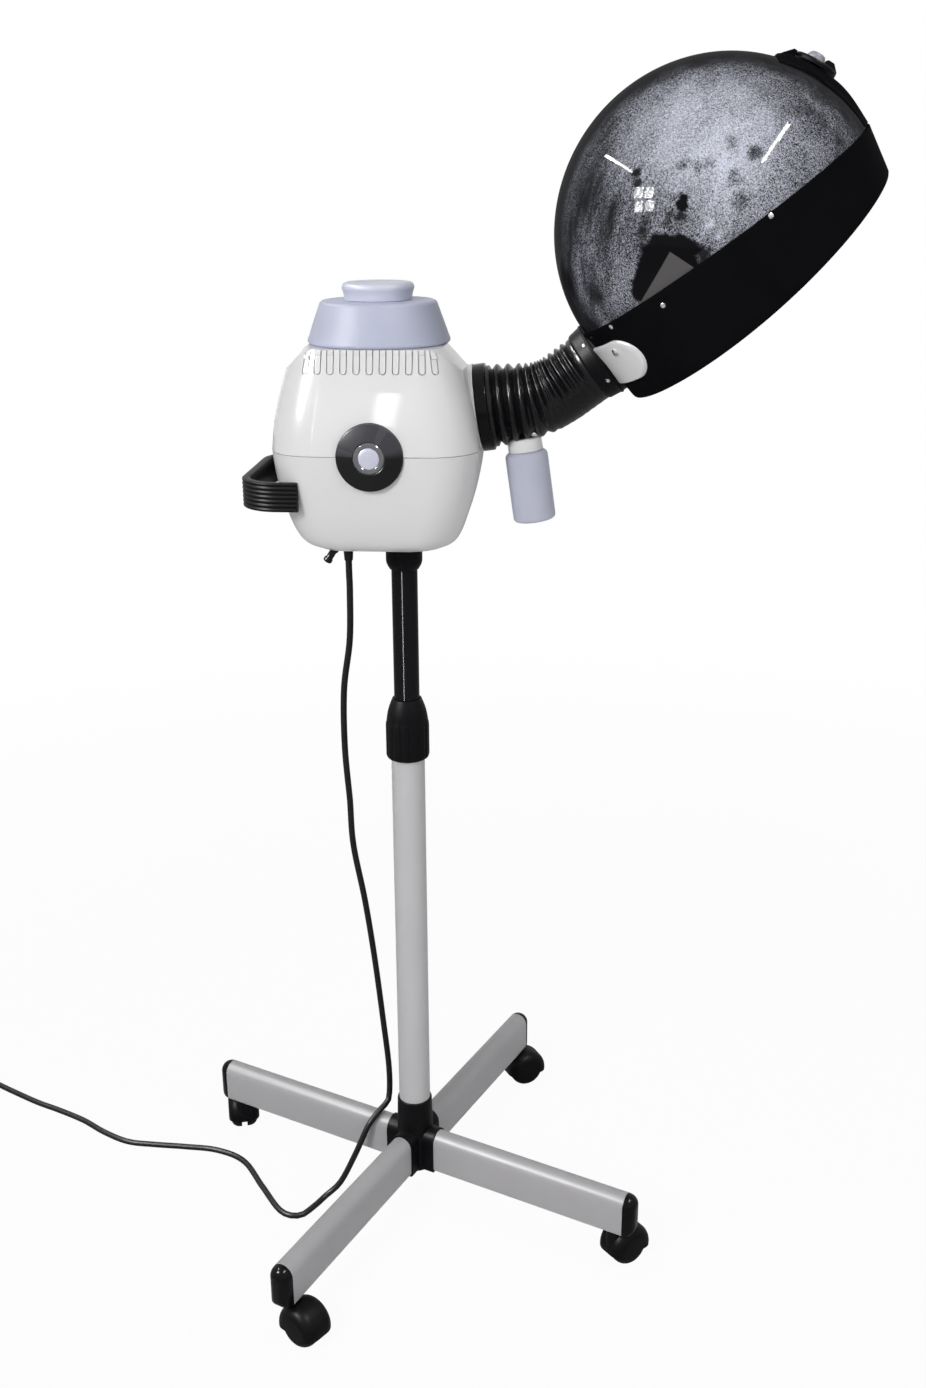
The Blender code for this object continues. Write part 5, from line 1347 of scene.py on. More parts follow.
@dataclass(frozen=True)
class Housing:
    """White body in two shells, with vents, pull strap, control, pilot lamp and drain."""

    half_length: float = .101
    half_width: float = .09
    corner: float = .046
    bottom: float = .8065
    parting: float = .906
    parting_gap: float = .0006
    shoulder: float = 1.003
    shoulder_half: float = .067
    shoulder_slope: float = 1.1
    hip_front: float = .067
    hip_back: float = .078
    hip_shift: float = -.008
    wall: float = .0035
    floor: float = .849
    ceiling: float = .972
    lower_side: tuple[Point, ...] = ((0.0, 0.0), (-.026, .003), (-.056, .0095), (-.08, .0175), (-.093, .0255),
        (-.0995, .036))
    upper_side: tuple[Point, ...] = ((0.0, 0.0), (.024, .0026), (.054, .009), (.08, .0165), (.099, .0225))
    vent_count: int = 11
    vent_pitch: float = .0124
    vent_half: float = .0036
    vent_groove: float = .0011
    vent_least: float = .011
    vent_bottom: float = .9805
    vent_depth: float = .003
    boss_radius: float = .0431
    boss_depth: float = .014
    duct_hole: float = .0278
    seat_radius: float = .0606
    seat: float = .9845
    spout_hole: float = .0161
    strap_level: float = .866
    strap_half: float = .014
    strap_thick: float = .008
    strap_reach: float = .132
    strap_end: float = .0715
    strap_width: float = .0868
    strap_corner: float = .04
    strap_ribs: int = 6
    step_face: float = .0762
    step_near: float = .0765
    step_far: float = .09
    step_drop: float = .0175
    bezel_radius: float = .032
    bezel_front: float = .093
    bezel_back: float = .079
    ring_radius: float = .015
    ring_front: float = .096
    button_radius: float = .01
    button_stem: float = .005
    button_travel: float = .003
    lamp_level: float = .925
    lamp_radius: float = .0048
    lamp_proud: float = .009
    drain_place: Point = (-.064, -.03)
    drain_tilt: float = 33.0
    drain_radius: float = .0046
    drain_length: float = .02
    boot_place: Point = (-.0595, .012)
    boot_radius: float = .0065
    inlet_depth: float = .012
    socket_hole: float = .0191

    def build(self) -> None:
        """Builds the body."""
        self.lower_shell()
        self.upper_shell()
        self.strap()
        self.controls()
        self.lamp()
        self.drain()
        for node in ("boiler_pot", "boiler_lid", "heater_band", "steam_riser"):
            dress(node, STEEL)
        dress("switch_block", BLACK_MATT)

    def ring(self, inset: float, z: float, wall: float = 0.0) -> list[Vector]:
        """A rounded oblong round the body at a height.

        Args:
            inset: How far the side has drawn in.
            z: Height of the ring.
            wall: Thickness left outside it.

        Returns:
            The ring's points.
        """
        half_x, half_y = self.half_length - inset - wall, self.half_width - inset - wall
        corner = self.corner - .3 * inset - wall
        points = []
        for sx, sy, start in ((1, 1, 0), (-1, 1, 90), (-1, -1, 180), (1, -1, 270)):
            points += arc(sx * (half_x - corner), sy * (half_y - corner), corner, start, start + 90, 16)
        return [BODY @ at(x, y, z) for x, y in points]

    def side(self, knots: Sequence[Point]) -> list[Point]:
        """A smooth run of rises and insets through knots."""
        return [(p.x, p.y) for p in spline([at(*knot, 0.0) for knot in knots], 5)]

    def inset_at(self, z: float) -> float:
        """How far the upper shell's side has drawn in at a height.

        Args:
            z: The height.

        Returns:
            The inset.
        """
        rise = z - self.parting
        for (low, a), (high, b) in zip(self.upper_side, self.upper_side[1:]):
            if rise <= high:
                return a + (b - a) * (rise - low) / (high - low)
        return self.upper_side[-1][1]

    def bezel_hole(self) -> Obj:
        """Cutter for the control's seat across the parting line."""
        place = BODY @ shifted(z=self.parting) @ FACING_FRONT
        return rod("bezel_hole", self.bezel_radius + GAP, self.bezel_back - .008, self.bezel_front + .002, place)

    def lower_shell(self) -> None:
        """Tub with one deep cavity, pockets for the strap's ends and holes in its floor."""
        rings = [self.ring(inset, self.parting + rise) for rise, inset in self.side(self.lower_side)]
        tub = skin("body_tub", rings)
        foot = self.lower_side[2][1] + self.wall
        plan = [(-self.strap_end + self.wall, self.strap_width - self.strap_thick - self.wall),
            (-self.half_length + foot, self.strap_width - self.strap_thick - self.corner)]
        plan = plan[::-1] + [(0, self.half_width - foot)]
        corner = self.corner - self.wall
        plan += arc(self.half_length - foot - corner, self.half_width - foot - corner, corner, 90, 0, 12)
        plan += [(x, -y) for x, y in reversed(plan)]
        tools = [prism("tub_cavity", plan, self.floor, self.parting + .002, BODY), self.bezel_hole()]
        tools += self.strap_pockets()
        under = self.bottom - .002
        tools.append(rod("socket_hole", self.socket_hole, under, self.floor + .002, POLE))
        tools.append(rod("boot_hole", self.boot_radius, under, self.bottom + self.inlet_depth,
            POLE @ shifted(*self.boot_place)))
        tools.append(rod("drain_hole", self.drain_radius + GAP, -.008, self.inlet_depth, self.drain_frame()))
        show(round_edges(carve(tub, tools), .0008, 28, 3), IVORY, "head", "lower_shell")

    def strap_pockets(self) -> list[Obj]:
        """Cutters for the strap's ends, each with a tapering step in the side below it.

        Returns:
            The cutters.
        """
        tools = []
        rise = self.strap_half + GAP
        low, high = self.strap_level - rise, self.strap_level + rise
        for side in (-1, 1):
            near = side * (self.strap_width - self.strap_thick - GAP)
            far = side * (self.half_width + .002)
            tools.append(block("strap_pocket", (-self.half_length - .002, min(near, far), low),
                (-self.strap_end + GAP, max(near, far), high), BODY))
            step = side * self.step_face
            outline = [(-self.strap_end + GAP, low + .001), (-self.strap_end - .0005, low - .01),
                (-self.step_near, low - self.step_drop), (-self.step_far, low - self.step_drop),
                (-self.step_far, low + .001)]
            place = BODY @ FACING_FRONT
            tools.append(prism("strap_step", outline, min(-step, -far), max(-step, -far), place))
        return tools

    def upper_shell(self) -> None:
        """Lid whose ends slope down from the tank's seat, with the outlet's boss."""
        low = self.parting + self.parting_gap
        rings = [self.ring(inset, low + rise) for rise, inset in self.side(self.upper_side)]
        rings.append(self.ring(self.upper_side[-1][1] + .002, self.shoulder + .008))
        lid = skin("body_lid", rings)
        reach = self.half_length + self.half_width
        carve(lid, [self.hip(low)], "INTERSECT")
        boss = rod("port_boss", self.boss_radius, -self.boss_depth, 0, PORT @ ALONG_X)
        trim = block("boss_trim", (-reach, -reach, self.bottom), (reach, reach, low), BODY)
        carve(lid, [carve(boss, [trim])], "UNION")
        cavity = [self.ring(0, low - .002, self.wall)]
        cavity += [self.ring(inset, low + rise, self.wall) for rise, inset in self.upper_side
            if low + rise < self.ceiling]
        cavity.append(self.ring(self.inset_at(self.ceiling) + 2.6 * self.wall, self.ceiling, self.wall))
        through = 4 * self.wall
        tools = [skin("lid_cavity", cavity), self.bezel_hole(),
            rod("tank_seat", self.seat_radius, self.seat, self.shoulder + .002, BODY),
            rod("spout_hole", self.spout_hole, self.ceiling - .002, self.shoulder, BODY),
            rod("duct_hole", self.duct_hole, -6 * self.wall, .002, PORT @ ALONG_X),
            rod("lamp_hole", self.lamp_radius + GAP, -through, through, self.lamp_frame())]
        rows = [self.vents(side) for side in (-1, 1)]
        lid = carve(lid, tools + [slots for slots, _ in rows])
        lid = join("body_lid", [lid] + [caps for _, caps in rows])
        show(round_edges(lid, .0009, 28, 3), IVORY, "head", "upper_shell")

    def hip(self, low: float) -> Obj:
        """The room under the lid's sloping ends, squarish to the front and oval to the back.

        Args:
            low: Height that the room starts below.

        Returns:
            The room as a solid.
        """
        rings = []
        for drop, scale in ((self.shoulder - low + .002, 2), (self.shoulder_slope * self.shoulder_half, 2), (0, 1)):
            ring = []
            for k in range(96):
                c, s = cos(k * pi / 48), sin(k * pi / 48)
                power, depth = (.5, self.hip_front) if s < 0 else (1.0, self.hip_back)
                x = abs(c) ** power * (self.shoulder_half if c > 0 else -self.shoulder_half)
                y = abs(s) ** power * (depth if s > 0 else -depth)
                ring.append(BODY @ at(scale * x, scale * y + self.hip_shift, self.shoulder - drop))
            rings.append(ring)
        return skin("lid_hip", rings)

    def hip_top(self, x: float, y: float) -> float:
        """How high the hip leaves the lid at a place.

        Args:
            x: Place along the body.
            y: Place across it.

        Returns:
            The height.
        """
        power, depth = (4, self.hip_front) if y < self.hip_shift else (2, self.hip_back)
        scale = ((abs(x) / self.shoulder_half) ** power + (abs(y - self.hip_shift) / depth) ** power) ** (1 / power)
        return self.shoulder - self.shoulder_slope * self.shoulder_half * max(0.0, scale - 1)

    def vents(self, side: int) -> tuple[Obj, Obj]:
        """Cutter for one row of vents, each a horseshoe groove, and the caps over them.

        Args:
            side: Sign of Y on the row's side.

        Returns:
            The cutter and the caps.
        """
        (low, a), (high, b) = self.upper_side[3:5]
        lean = atan2(b - a, high - low)
        height = (self.shoulder + .002 - self.vent_bottom) / cos(lean)
        inset = self.inset_at(self.vent_bottom)
        corner = self.corner - .3 * inset
        half, inner = self.vent_half, self.vent_half - self.vent_groove
        outline = [(half, height), (inner, height)] + arc(0, half, inner, 360, 180, 8)
        outline += [(-inner, height), (-half, height)] + arc(0, half, half, 180, 360, 8)
        slots, caps = [], []
        for k in range(self.vent_count):
            x = self.vent_pitch * (k - (self.vent_count - 1) / 2)
            past = max(0.0, abs(x) - (self.half_length - inset - corner)) * (1 if x > 0 else -1)
            turn = asin(past / corner)
            y = self.half_width - inset - corner * (1 - cos(turn))
            top = self.hip_top(x, side * (y - (self.shoulder - self.vent_bottom) * sin(lean))) - self.vent_bottom
            if top < self.vent_least:
                continue
            place = (BODY @ shifted(x, side * y, self.vent_bottom) @ Matrix.Rotation(-side * turn, 4,
                "Z") @ Matrix.Rotation(radians(90) + side * lean, 4, "X"))
            slots.append(prism("vent_slot", outline, -self.vent_depth, self.vent_depth, place))
            cap = [(across, top / cos(lean) - drop, .0012)
                for across, drop in ((inner, .0046), (inner, .0012), (-inner, .0012), (-inner, .0046))]
            caps.append(prism("vent_cap", softened(cap), -.002, .0013, place))
        return join("vent_row", slots), join("vent_caps", caps)

    def strap(self) -> None:
        """Pull strap bent round the back, ribbed along its outer face."""
        rise = self.strap_half
        section = [(self.strap_thick, -rise + .0008), (self.strap_thick, rise - .0008),
            (self.strap_thick - .0008, rise), (.001, rise), (.0002, rise - .0006)]
        steps = self.strap_ribs * 6
        for i in range(steps + 1):
            share = i / steps
            groove = .0008 * (.5 - .5 * cos(2 * pi * self.strap_ribs * share)) ** 2
            section.append((groove, (rise - .0014) * (1 - 2 * share)))
        section += [(.0002, -rise + .0006), (.001, -rise), (self.strap_thick - .0008, -rise)]
        lines = [self.strap_line(depth, z) for depth, z in section]
        strap = skin("pull_strap", [list(ring) for ring in zip(*lines)], sharp=50)
        show(strap, BLACK_MATT, "head", "handle")

    def strap_line(self, inset: float, z: float) -> list[Vector]:
        """One line along the strap, drawn in by an inset from its outer face.

        Args:
            inset: How far it is drawn in.
            z: Height above the strap's middle.

        Returns:
            The line's points.
        """
        half, back = self.strap_width - inset, inset - self.strap_reach
        corner = self.strap_corner - inset
        points = [(-self.strap_end, half)] + arc(back + corner, half - corner, corner, 90, 180, 14)
        points += arc(back + corner, corner - half, corner, 180, 270, 14) + [(-self.strap_end, -half)]
        return [BODY @ at(x, y, self.strap_level + z) for x, y in points]

    def controls(self) -> None:
        """Coned bezel with a lens ring and a push button at its middle."""
        place = BODY @ shifted(z=self.parting) @ FACING_FRONT
        back, rim, r = self.bezel_back, self.bezel_front, self.bezel_radius
        hole = self.ring_radius + GAP
        bezel = [(hole, self.ring_front - .0004), (hole + .0006, self.ring_front), (r - .0014, rim + .0002),
            (r - .0004, rim - .0004), (r, rim - .0014), (r, back), (hole, back)]
        show(lathe("control_cone", bezel, place, 96, True), BEZEL, "head", "control_bezel")
        bore = self.button_radius + GAP
        front, r = self.ring_front + GAP, self.ring_radius
        ring = [(bore, front - .0006), (bore + .0008, front), (r - .001, front), (r, front - .001), (r, back),
            (bore, back)]
        show(lathe("control_ring", ring, place, 64, True), RING_GREY, "head", "button_ring")
        front, r = self.ring_front + .001, self.button_radius
        foot = back + self.button_travel + 2 * GAP
        button = [(0, front), (r * .55, front - .0001), (r * .86, front - .0004), (r, front - .0012), (r, foot),
            (self.button_stem, foot), (self.button_stem, back + GAP), (0, back + GAP)]
        show(lathe("control_button", button, place, 64), LILAC, "button", "power_button")

    def lamp_frame(self) -> Matrix:
        """Frame on the rear face, with Z square out of it.

        Returns:
            The frame.
        """
        lean = atan2(self.upper_side[1][1], self.upper_side[1][0])
        place = shifted(-self.half_length + self.inset_at(self.lamp_level), 0, self.lamp_level)
        return BODY @ place @ Matrix.Rotation(lean - radians(90), 4, "Y")

    def lamp(self) -> None:
        """Clear pilot lamp on the rear face."""
        r = self.lamp_radius
        profile = [(r * sin(a), self.lamp_proud - r * (1 - cos(a))) for a in (radians(9 * i) for i in range(11))]
        brim = 2 * GAP + .0014
        profile += [(r, brim), (r + .0009, brim), (r + .0012, brim - .0004), (r + .0012, 2 * GAP), (r, 2 * GAP),
            (r, -2 * self.wall), (0, -2 * self.wall)]
        show(lathe("pilot_lens", profile, self.lamp_frame(), 40), CLEAR, "head", "pilot_lamp")

    def drain_frame(self) -> Matrix:
        """Frame of the drain in the tub's floor, tilted to the back."""
        return POLE @ shifted(*self.drain_place, self.bottom) @ turned(self.drain_tilt, "Y")

    def drain(self) -> None:
        """Stopped drain nipple with a lip at its end."""
        top, r, end = self.inlet_depth - 2 * GAP, self.drain_radius, -self.drain_length
        profile = [(0, top), (r, top), (r, -.006), (r * .78, -.0075), (r * .78, end + .005), (r, end + .0035),
            (r, end + .0008, .0008), (r - .001, end), (0, end)]
        show(lathe("drain_peg", profile, self.drain_frame(), 32), RUBBER, "head", "drain_nipple")


# ---- tank


@dataclass(frozen=True)
class Tank:
    """Lift-off water tank with its screw cap."""

    bottom_radius: float = .07
    top_radius: float = .0578
    top: float = 1.0435
    wall: float = .002
    stand: float = 1.0033
    seat: float = .9848
    seat_radius: float = .06
    neck_radius: float = .03
    neck_height: float = .01
    spout_radius: float = .0155
    spout_length: float = .027
    cap_radius: float = .0352
    cap_height: float = .0165
    cap_wall: float = .0025

    def build(self) -> None:
        """Builds the tank and its cap."""
        w, stand, base, top = self.wall, self.stand, self.seat, self.top
        neck, seat, spout = self.neck_radius, self.seat_radius, self.spout_radius
        neck_top, tip = top + self.neck_height, base - self.spout_length
        outer = [(neck, neck_top, .0006), (neck, top, .001)]
        outer += arc(self.top_radius - .005, top - .005, .005, 90, 17, 8)
        outer += [(self.bottom_radius, stand + .0025, .0012), (self.bottom_radius - .002, stand, .001),
            (seat, stand, .0006), (seat, base, .001), (spout, base, .001), (spout, tip)]
        inner = [(spout - w, tip), (spout - w, base + w), (seat - w, base + w), (seat - w, stand + w),
            (self.bottom_radius - 2.2 * w, stand + w), (self.top_radius - 1.6 * w, top - 1.6 * w),
            (neck - w, top - w), (neck - w, neck_top)]
        show(lathe("tank_moulding", outer + inner, BODY, 96, True), MILKY, "tank", "water_tank")
        low, r = top + GAP, self.cap_radius
        high = low + self.cap_height
        cap = [(0, high - .0004), (r - .011, high - .0004), (r - .0095, high), (r - .005, high, .001)]
        cap += arc(r - .005, high - .005, .005, 80, -38, 9)
        cap += [(r - .0022, low + .003), (r - .0026, low, .0005), (neck + GAP, low),
            (neck + GAP, high - self.cap_wall), (0, high - self.cap_wall)]
        show(lathe("tank_lid", cap, BODY, 96), MILKY_CAP, "cap", "tank_cap")


# ---- neck


@dataclass(frozen=True)
class Neck:
    """Steam outlet, hinge, ribbed bellows, collar and the drip bottle under the duct."""

    flange_radius: float = .0425
    flange_length: float = .012
    duct_radius: float = .0275
    duct_wall: float = .0025
    duct_back: float = .01
    duct_end: float = .05
    sleeve: float = .0116
    ear_half: float = .01
    ear_thick: float = .004
    outer_ear: float = .0205
    drip_run: float = .0407
    drip_tube: float = .0075
    drip_low: float = .048
    drip_cap_radius: float = .0172
    drip_cap_top: float = .034
    drip_cap_height: float = .0135
    drip_cap_plate: float = .0025
    bottle_radius: float = .0213
    bottle_height: float = .07
    bottle_wall: float = .0012
    bottle_neck: float = .0112
    bottle_neck_height: float = .0095
    ribs: tuple[Point, ...] = ((1.3, 1.0), (1.3, 1.0), (1.3, 1.0), (1.25, .95), (.9, .7), (.6, .4), (.55, .35),
        (.6, .4), (.85, .7), (.9, .8), (.9, .75), (.85, .65))
    rib_samples: int = 12
    start_radius: float = .0408
    end_radius: float = .0345
    rib_depth: float = .005
    skin_wall: float = .0012
    bend_lead: float = .022
    bellows_hole: float = .0176
    neck_radius: float = .0255
    collar_start: float = .0506
    collar_length: float = .0205
    collar_radius: float = .0357
    collar_flare: float = .0378
    collar_bead: float = .064
    collar_screws: tuple[float, ...] = (-62.0, -128.0, 62.0, 128.0)

    def build(self) -> None:
        """Builds the neck."""
        self.outlet()
        self.drip_bottle()
        self.bellows()
        self.collar()
        dress("hinge_pin", STEEL)
        dress("neck_duct", BLACK_GLOSS, .0003)

    def outlet(self) -> None:
        """Flanged duct with the hinge's fork on its end and the drip tube under it."""
        inner, back = self.duct_radius - self.duct_wall, -self.duct_back
        profile = [(inner, self.duct_end), (self.duct_radius, self.duct_end),
            (self.duct_radius, self.flange_length), (self.flange_radius, self.flange_length, .0016),
            (self.flange_radius, GAP, .0006), (self.duct_radius, GAP), (self.duct_radius, back),
            (self.sleeve, back), (self.sleeve, back + self.duct_wall), (inner, back + self.duct_wall)]
        pieces = [lathe("outlet_ring", profile, PORT @ ALONG_X, 72, True)]
        for side in (-1, 1):
            outline = [(self.duct_end - self.ear_half, self.ear_half), (self.duct_end - self.ear_half, -self.ear_half)]
            outline += arc(HINGE_RUN, 0, self.ear_half, -90, 90, 12)
            middle = side * (self.outer_ear + self.ear_thick / 2)
            pieces.append(prism("outlet_ear", outline, -self.ear_thick / 2, self.ear_thick / 2,
                PORT @ shifted(0, middle) @ FACING_FRONT))
        tube = [(0, -inner - .001), (self.drip_tube, -inner - .001), (self.drip_tube, -self.drip_low),
            (.005, -self.drip_low), (.005, -inner - .003), (0, -inner - .003)]
        pieces.append(lathe("outlet_drip", tube, PORT @ shifted(self.drip_run), 32))
        show(join("outlet_casting", pieces), BLACK_GLOSS, "head", "outlet_duct")

    def drip_bottle(self) -> None:
        """White screw cap on the drip tube and the milky bottle that hangs in it."""
        place = PORT @ shifted(self.drip_run)
        top, w = -self.drip_cap_top, self.bottle_wall
        low, plate = top - self.drip_cap_height, top - self.drip_cap_plate
        thread, hole, r = self.bottle_neck + 2 * GAP, self.drip_tube + GAP, self.drip_cap_radius
        cap = [(hole, top), (r - .0015, top, .001), (r, top - .0015, .001), (r, low, .0005), (thread, low),
            (thread, plate), (hole, plate)]
        show(lathe("drip_screw_cap", cap, place, 64, True), IVORY, "head", "drip_cap")
        rim, r = low - GAP, self.bottle_radius
        foot, mouth = rim - self.bottle_height, self.bottle_neck - w
        side = [(mouth, low + self.bottle_neck_height), (self.bottle_neck, low + self.bottle_neck_height),
            (self.bottle_neck, rim)]
        side += arc(r - .006, rim - .006, .006, 90, 0, 10) + arc(r - .004, foot + .004, .004, 0, -90, 8)
        side += [(0, foot), (0, foot + w), (r - .005, foot + w), (r - w, foot + .005), (r - w, rim - .0065),
            (r - .0065, rim - w), (mouth, rim - w)]
        show(lathe("drip_flask", side, place, 64, True), MILKY_BOTTLE, "bottle", "drip_bottle")

    @property
    def bend(self) -> float:
        """How far the bellows bends at rest, in radians."""
        return radians(HOOD_PITCH - DUCT_PITCH)

    @property
    def first_run(self) -> float:
        """Straight run of the bellows before its bend."""
        return HINGE_RUN - self.bend_lead - self.flange_length - GAP

    @property
    def run(self) -> float:
        """Length of the bellows along its middle."""
        radius = self.bend_lead / tan(self.bend / 2)
        return self.first_run + radius * self.bend + self.collar_start - GAP - self.bend_lead

    def along(self, distance: float) -> Matrix:
        """Frame on the bellows' middle line, with Z along it.

        Args:
            distance: Way along the line.

        Returns:
            The frame.
        """
        radius = self.bend_lead / tan(self.bend / 2)
        begin, first = self.flange_length + GAP, self.first_run
        swept = min(max(distance - first, 0.0) / radius, self.bend)
        rest = max(0.0, distance - first - radius * self.bend)
        x = begin + min(distance, first) + radius * sin(swept) + rest * cos(swept)
        z = radius * (1 - cos(swept)) + rest * sin(swept)
        return PORT @ shifted(x, 0, z) @ Matrix.Rotation(-swept, 4, "Y") @ ALONG_X

    def crest(self, distance: float) -> float:
        """Radius of the ribs' crests, which shrinks away from the body."""
        share = min(1.0, distance / (.62 * self.run))
        return self.start_radius + (self.end_radius - self.start_radius) * share

    def folds(self) -> list[Point]:
        """Stops along the bellows and how far each lies below the crests, from nought to one and a half.

        Returns:
            Pairs of a stop and its depth.
        """
        cuff = .055 * self.run
        scale = (self.run - 2 * cuff) / sum(pitch for pitch, _ in self.ribs)
        stops, place = [(0.0, .25), (.6 * cuff, .2)], cuff
        for pitch, depth in self.ribs:
            for i in range(self.rib_samples):
                share = i / self.rib_samples
                rise = (.5 - .5 * cos(2 * pi * share)) ** .75
                stops.append((place + pitch * scale * share, depth * (1 - rise)))
            place += pitch * scale
        return stops + [(place, self.ribs[-1][1]), (self.run - .6 * cuff, .2), (self.run, .15)]

    def hose_ring(self, distance: float, depth: float) -> list[Vector]:
        """One ring of the bellows, whose underside is smooth past the bend.

        Args:
            distance: Way along the middle line.
            depth: How far it lies below the crests.

        Returns:
            The ring's points.
        """
        sides = 72
        place, crest = self.along(distance), self.crest(distance)
        past = min(max((distance / self.run - .42) / .16, 0.0), 1.0)
        ring = []
        for k in range(sides):
            a = 2 * pi * k / sides
            under = min(max((cos(a) + .15) / .6, 0.0), 1.0)
            r = crest - self.rib_depth * depth * (1 - .93 * past * under)
            ring.append(place @ at(r * cos(a), r * sin(a), 0))
        return ring

    def bellows(self) -> None:
        """Ribbed rubber hose with soft ribs, wide by the body and pressed together at the bend."""
        rings = [self.hose_ring(distance, depth) for distance, depth in self.folds()]
        inner = 1.0 + self.skin_wall / self.rib_depth
        rings += [self.hose_ring(self.run * (1 - i / 12), inner) for i in range(13)]
        hose = skin("bellows_hose", rings, wrap=True, sharp=60)
        low, high = -self.start_radius - .004, -self.duct_radius
        hole = rod("drip_hole", self.bellows_hole, low, high, PORT @ shifted(self.drip_run), 48)
        show(carve(hose, [hole], sharp=60), RUBBER, None, "bellows")
        self.along(0.0).to_translation()
        self.along(self.run).to_translation()
        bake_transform(hose)

    def collar(self) -> None:
        """Coned collar from the bellows to the hood, with a bead at its end and two small screws."""
        place = HINGE @ ALONG_X
        bore, r, wide = self.neck_radius + GAP, self.collar_radius, self.collar_flare
        start, end = self.collar_start, self.collar_start + self.collar_length
        bead = self.collar_bead
        profile = [(bore, end), (wide - .0006, end), (wide - .0006, bead + .0024),
            (wide + .0004, bead + .0018, .0006), (wide + .0004, bead, .0006), (wide - .0006, bead - .0006, .0004),
            (r, start + .0016, .001), (r - .0012, start, .0008), (bore, start)]
        show(lathe("collar_ring", profile, place, 96, True), BLACK_MATT, "hood", "hose_collar")
        for k, turn in enumerate(self.collar_screws):
            a = radians(turn)
            out = place.to_3x3() @ at(cos(a), sin(a), 0.0)
            spot = place @ at((wide - .0008) * cos(a), (wide - .0008) * sin(a), bead - .0032)
            screw(f"collar_screw_{k}", aimed(spot, out), .002, "hood", 60.0)


# ---- hood


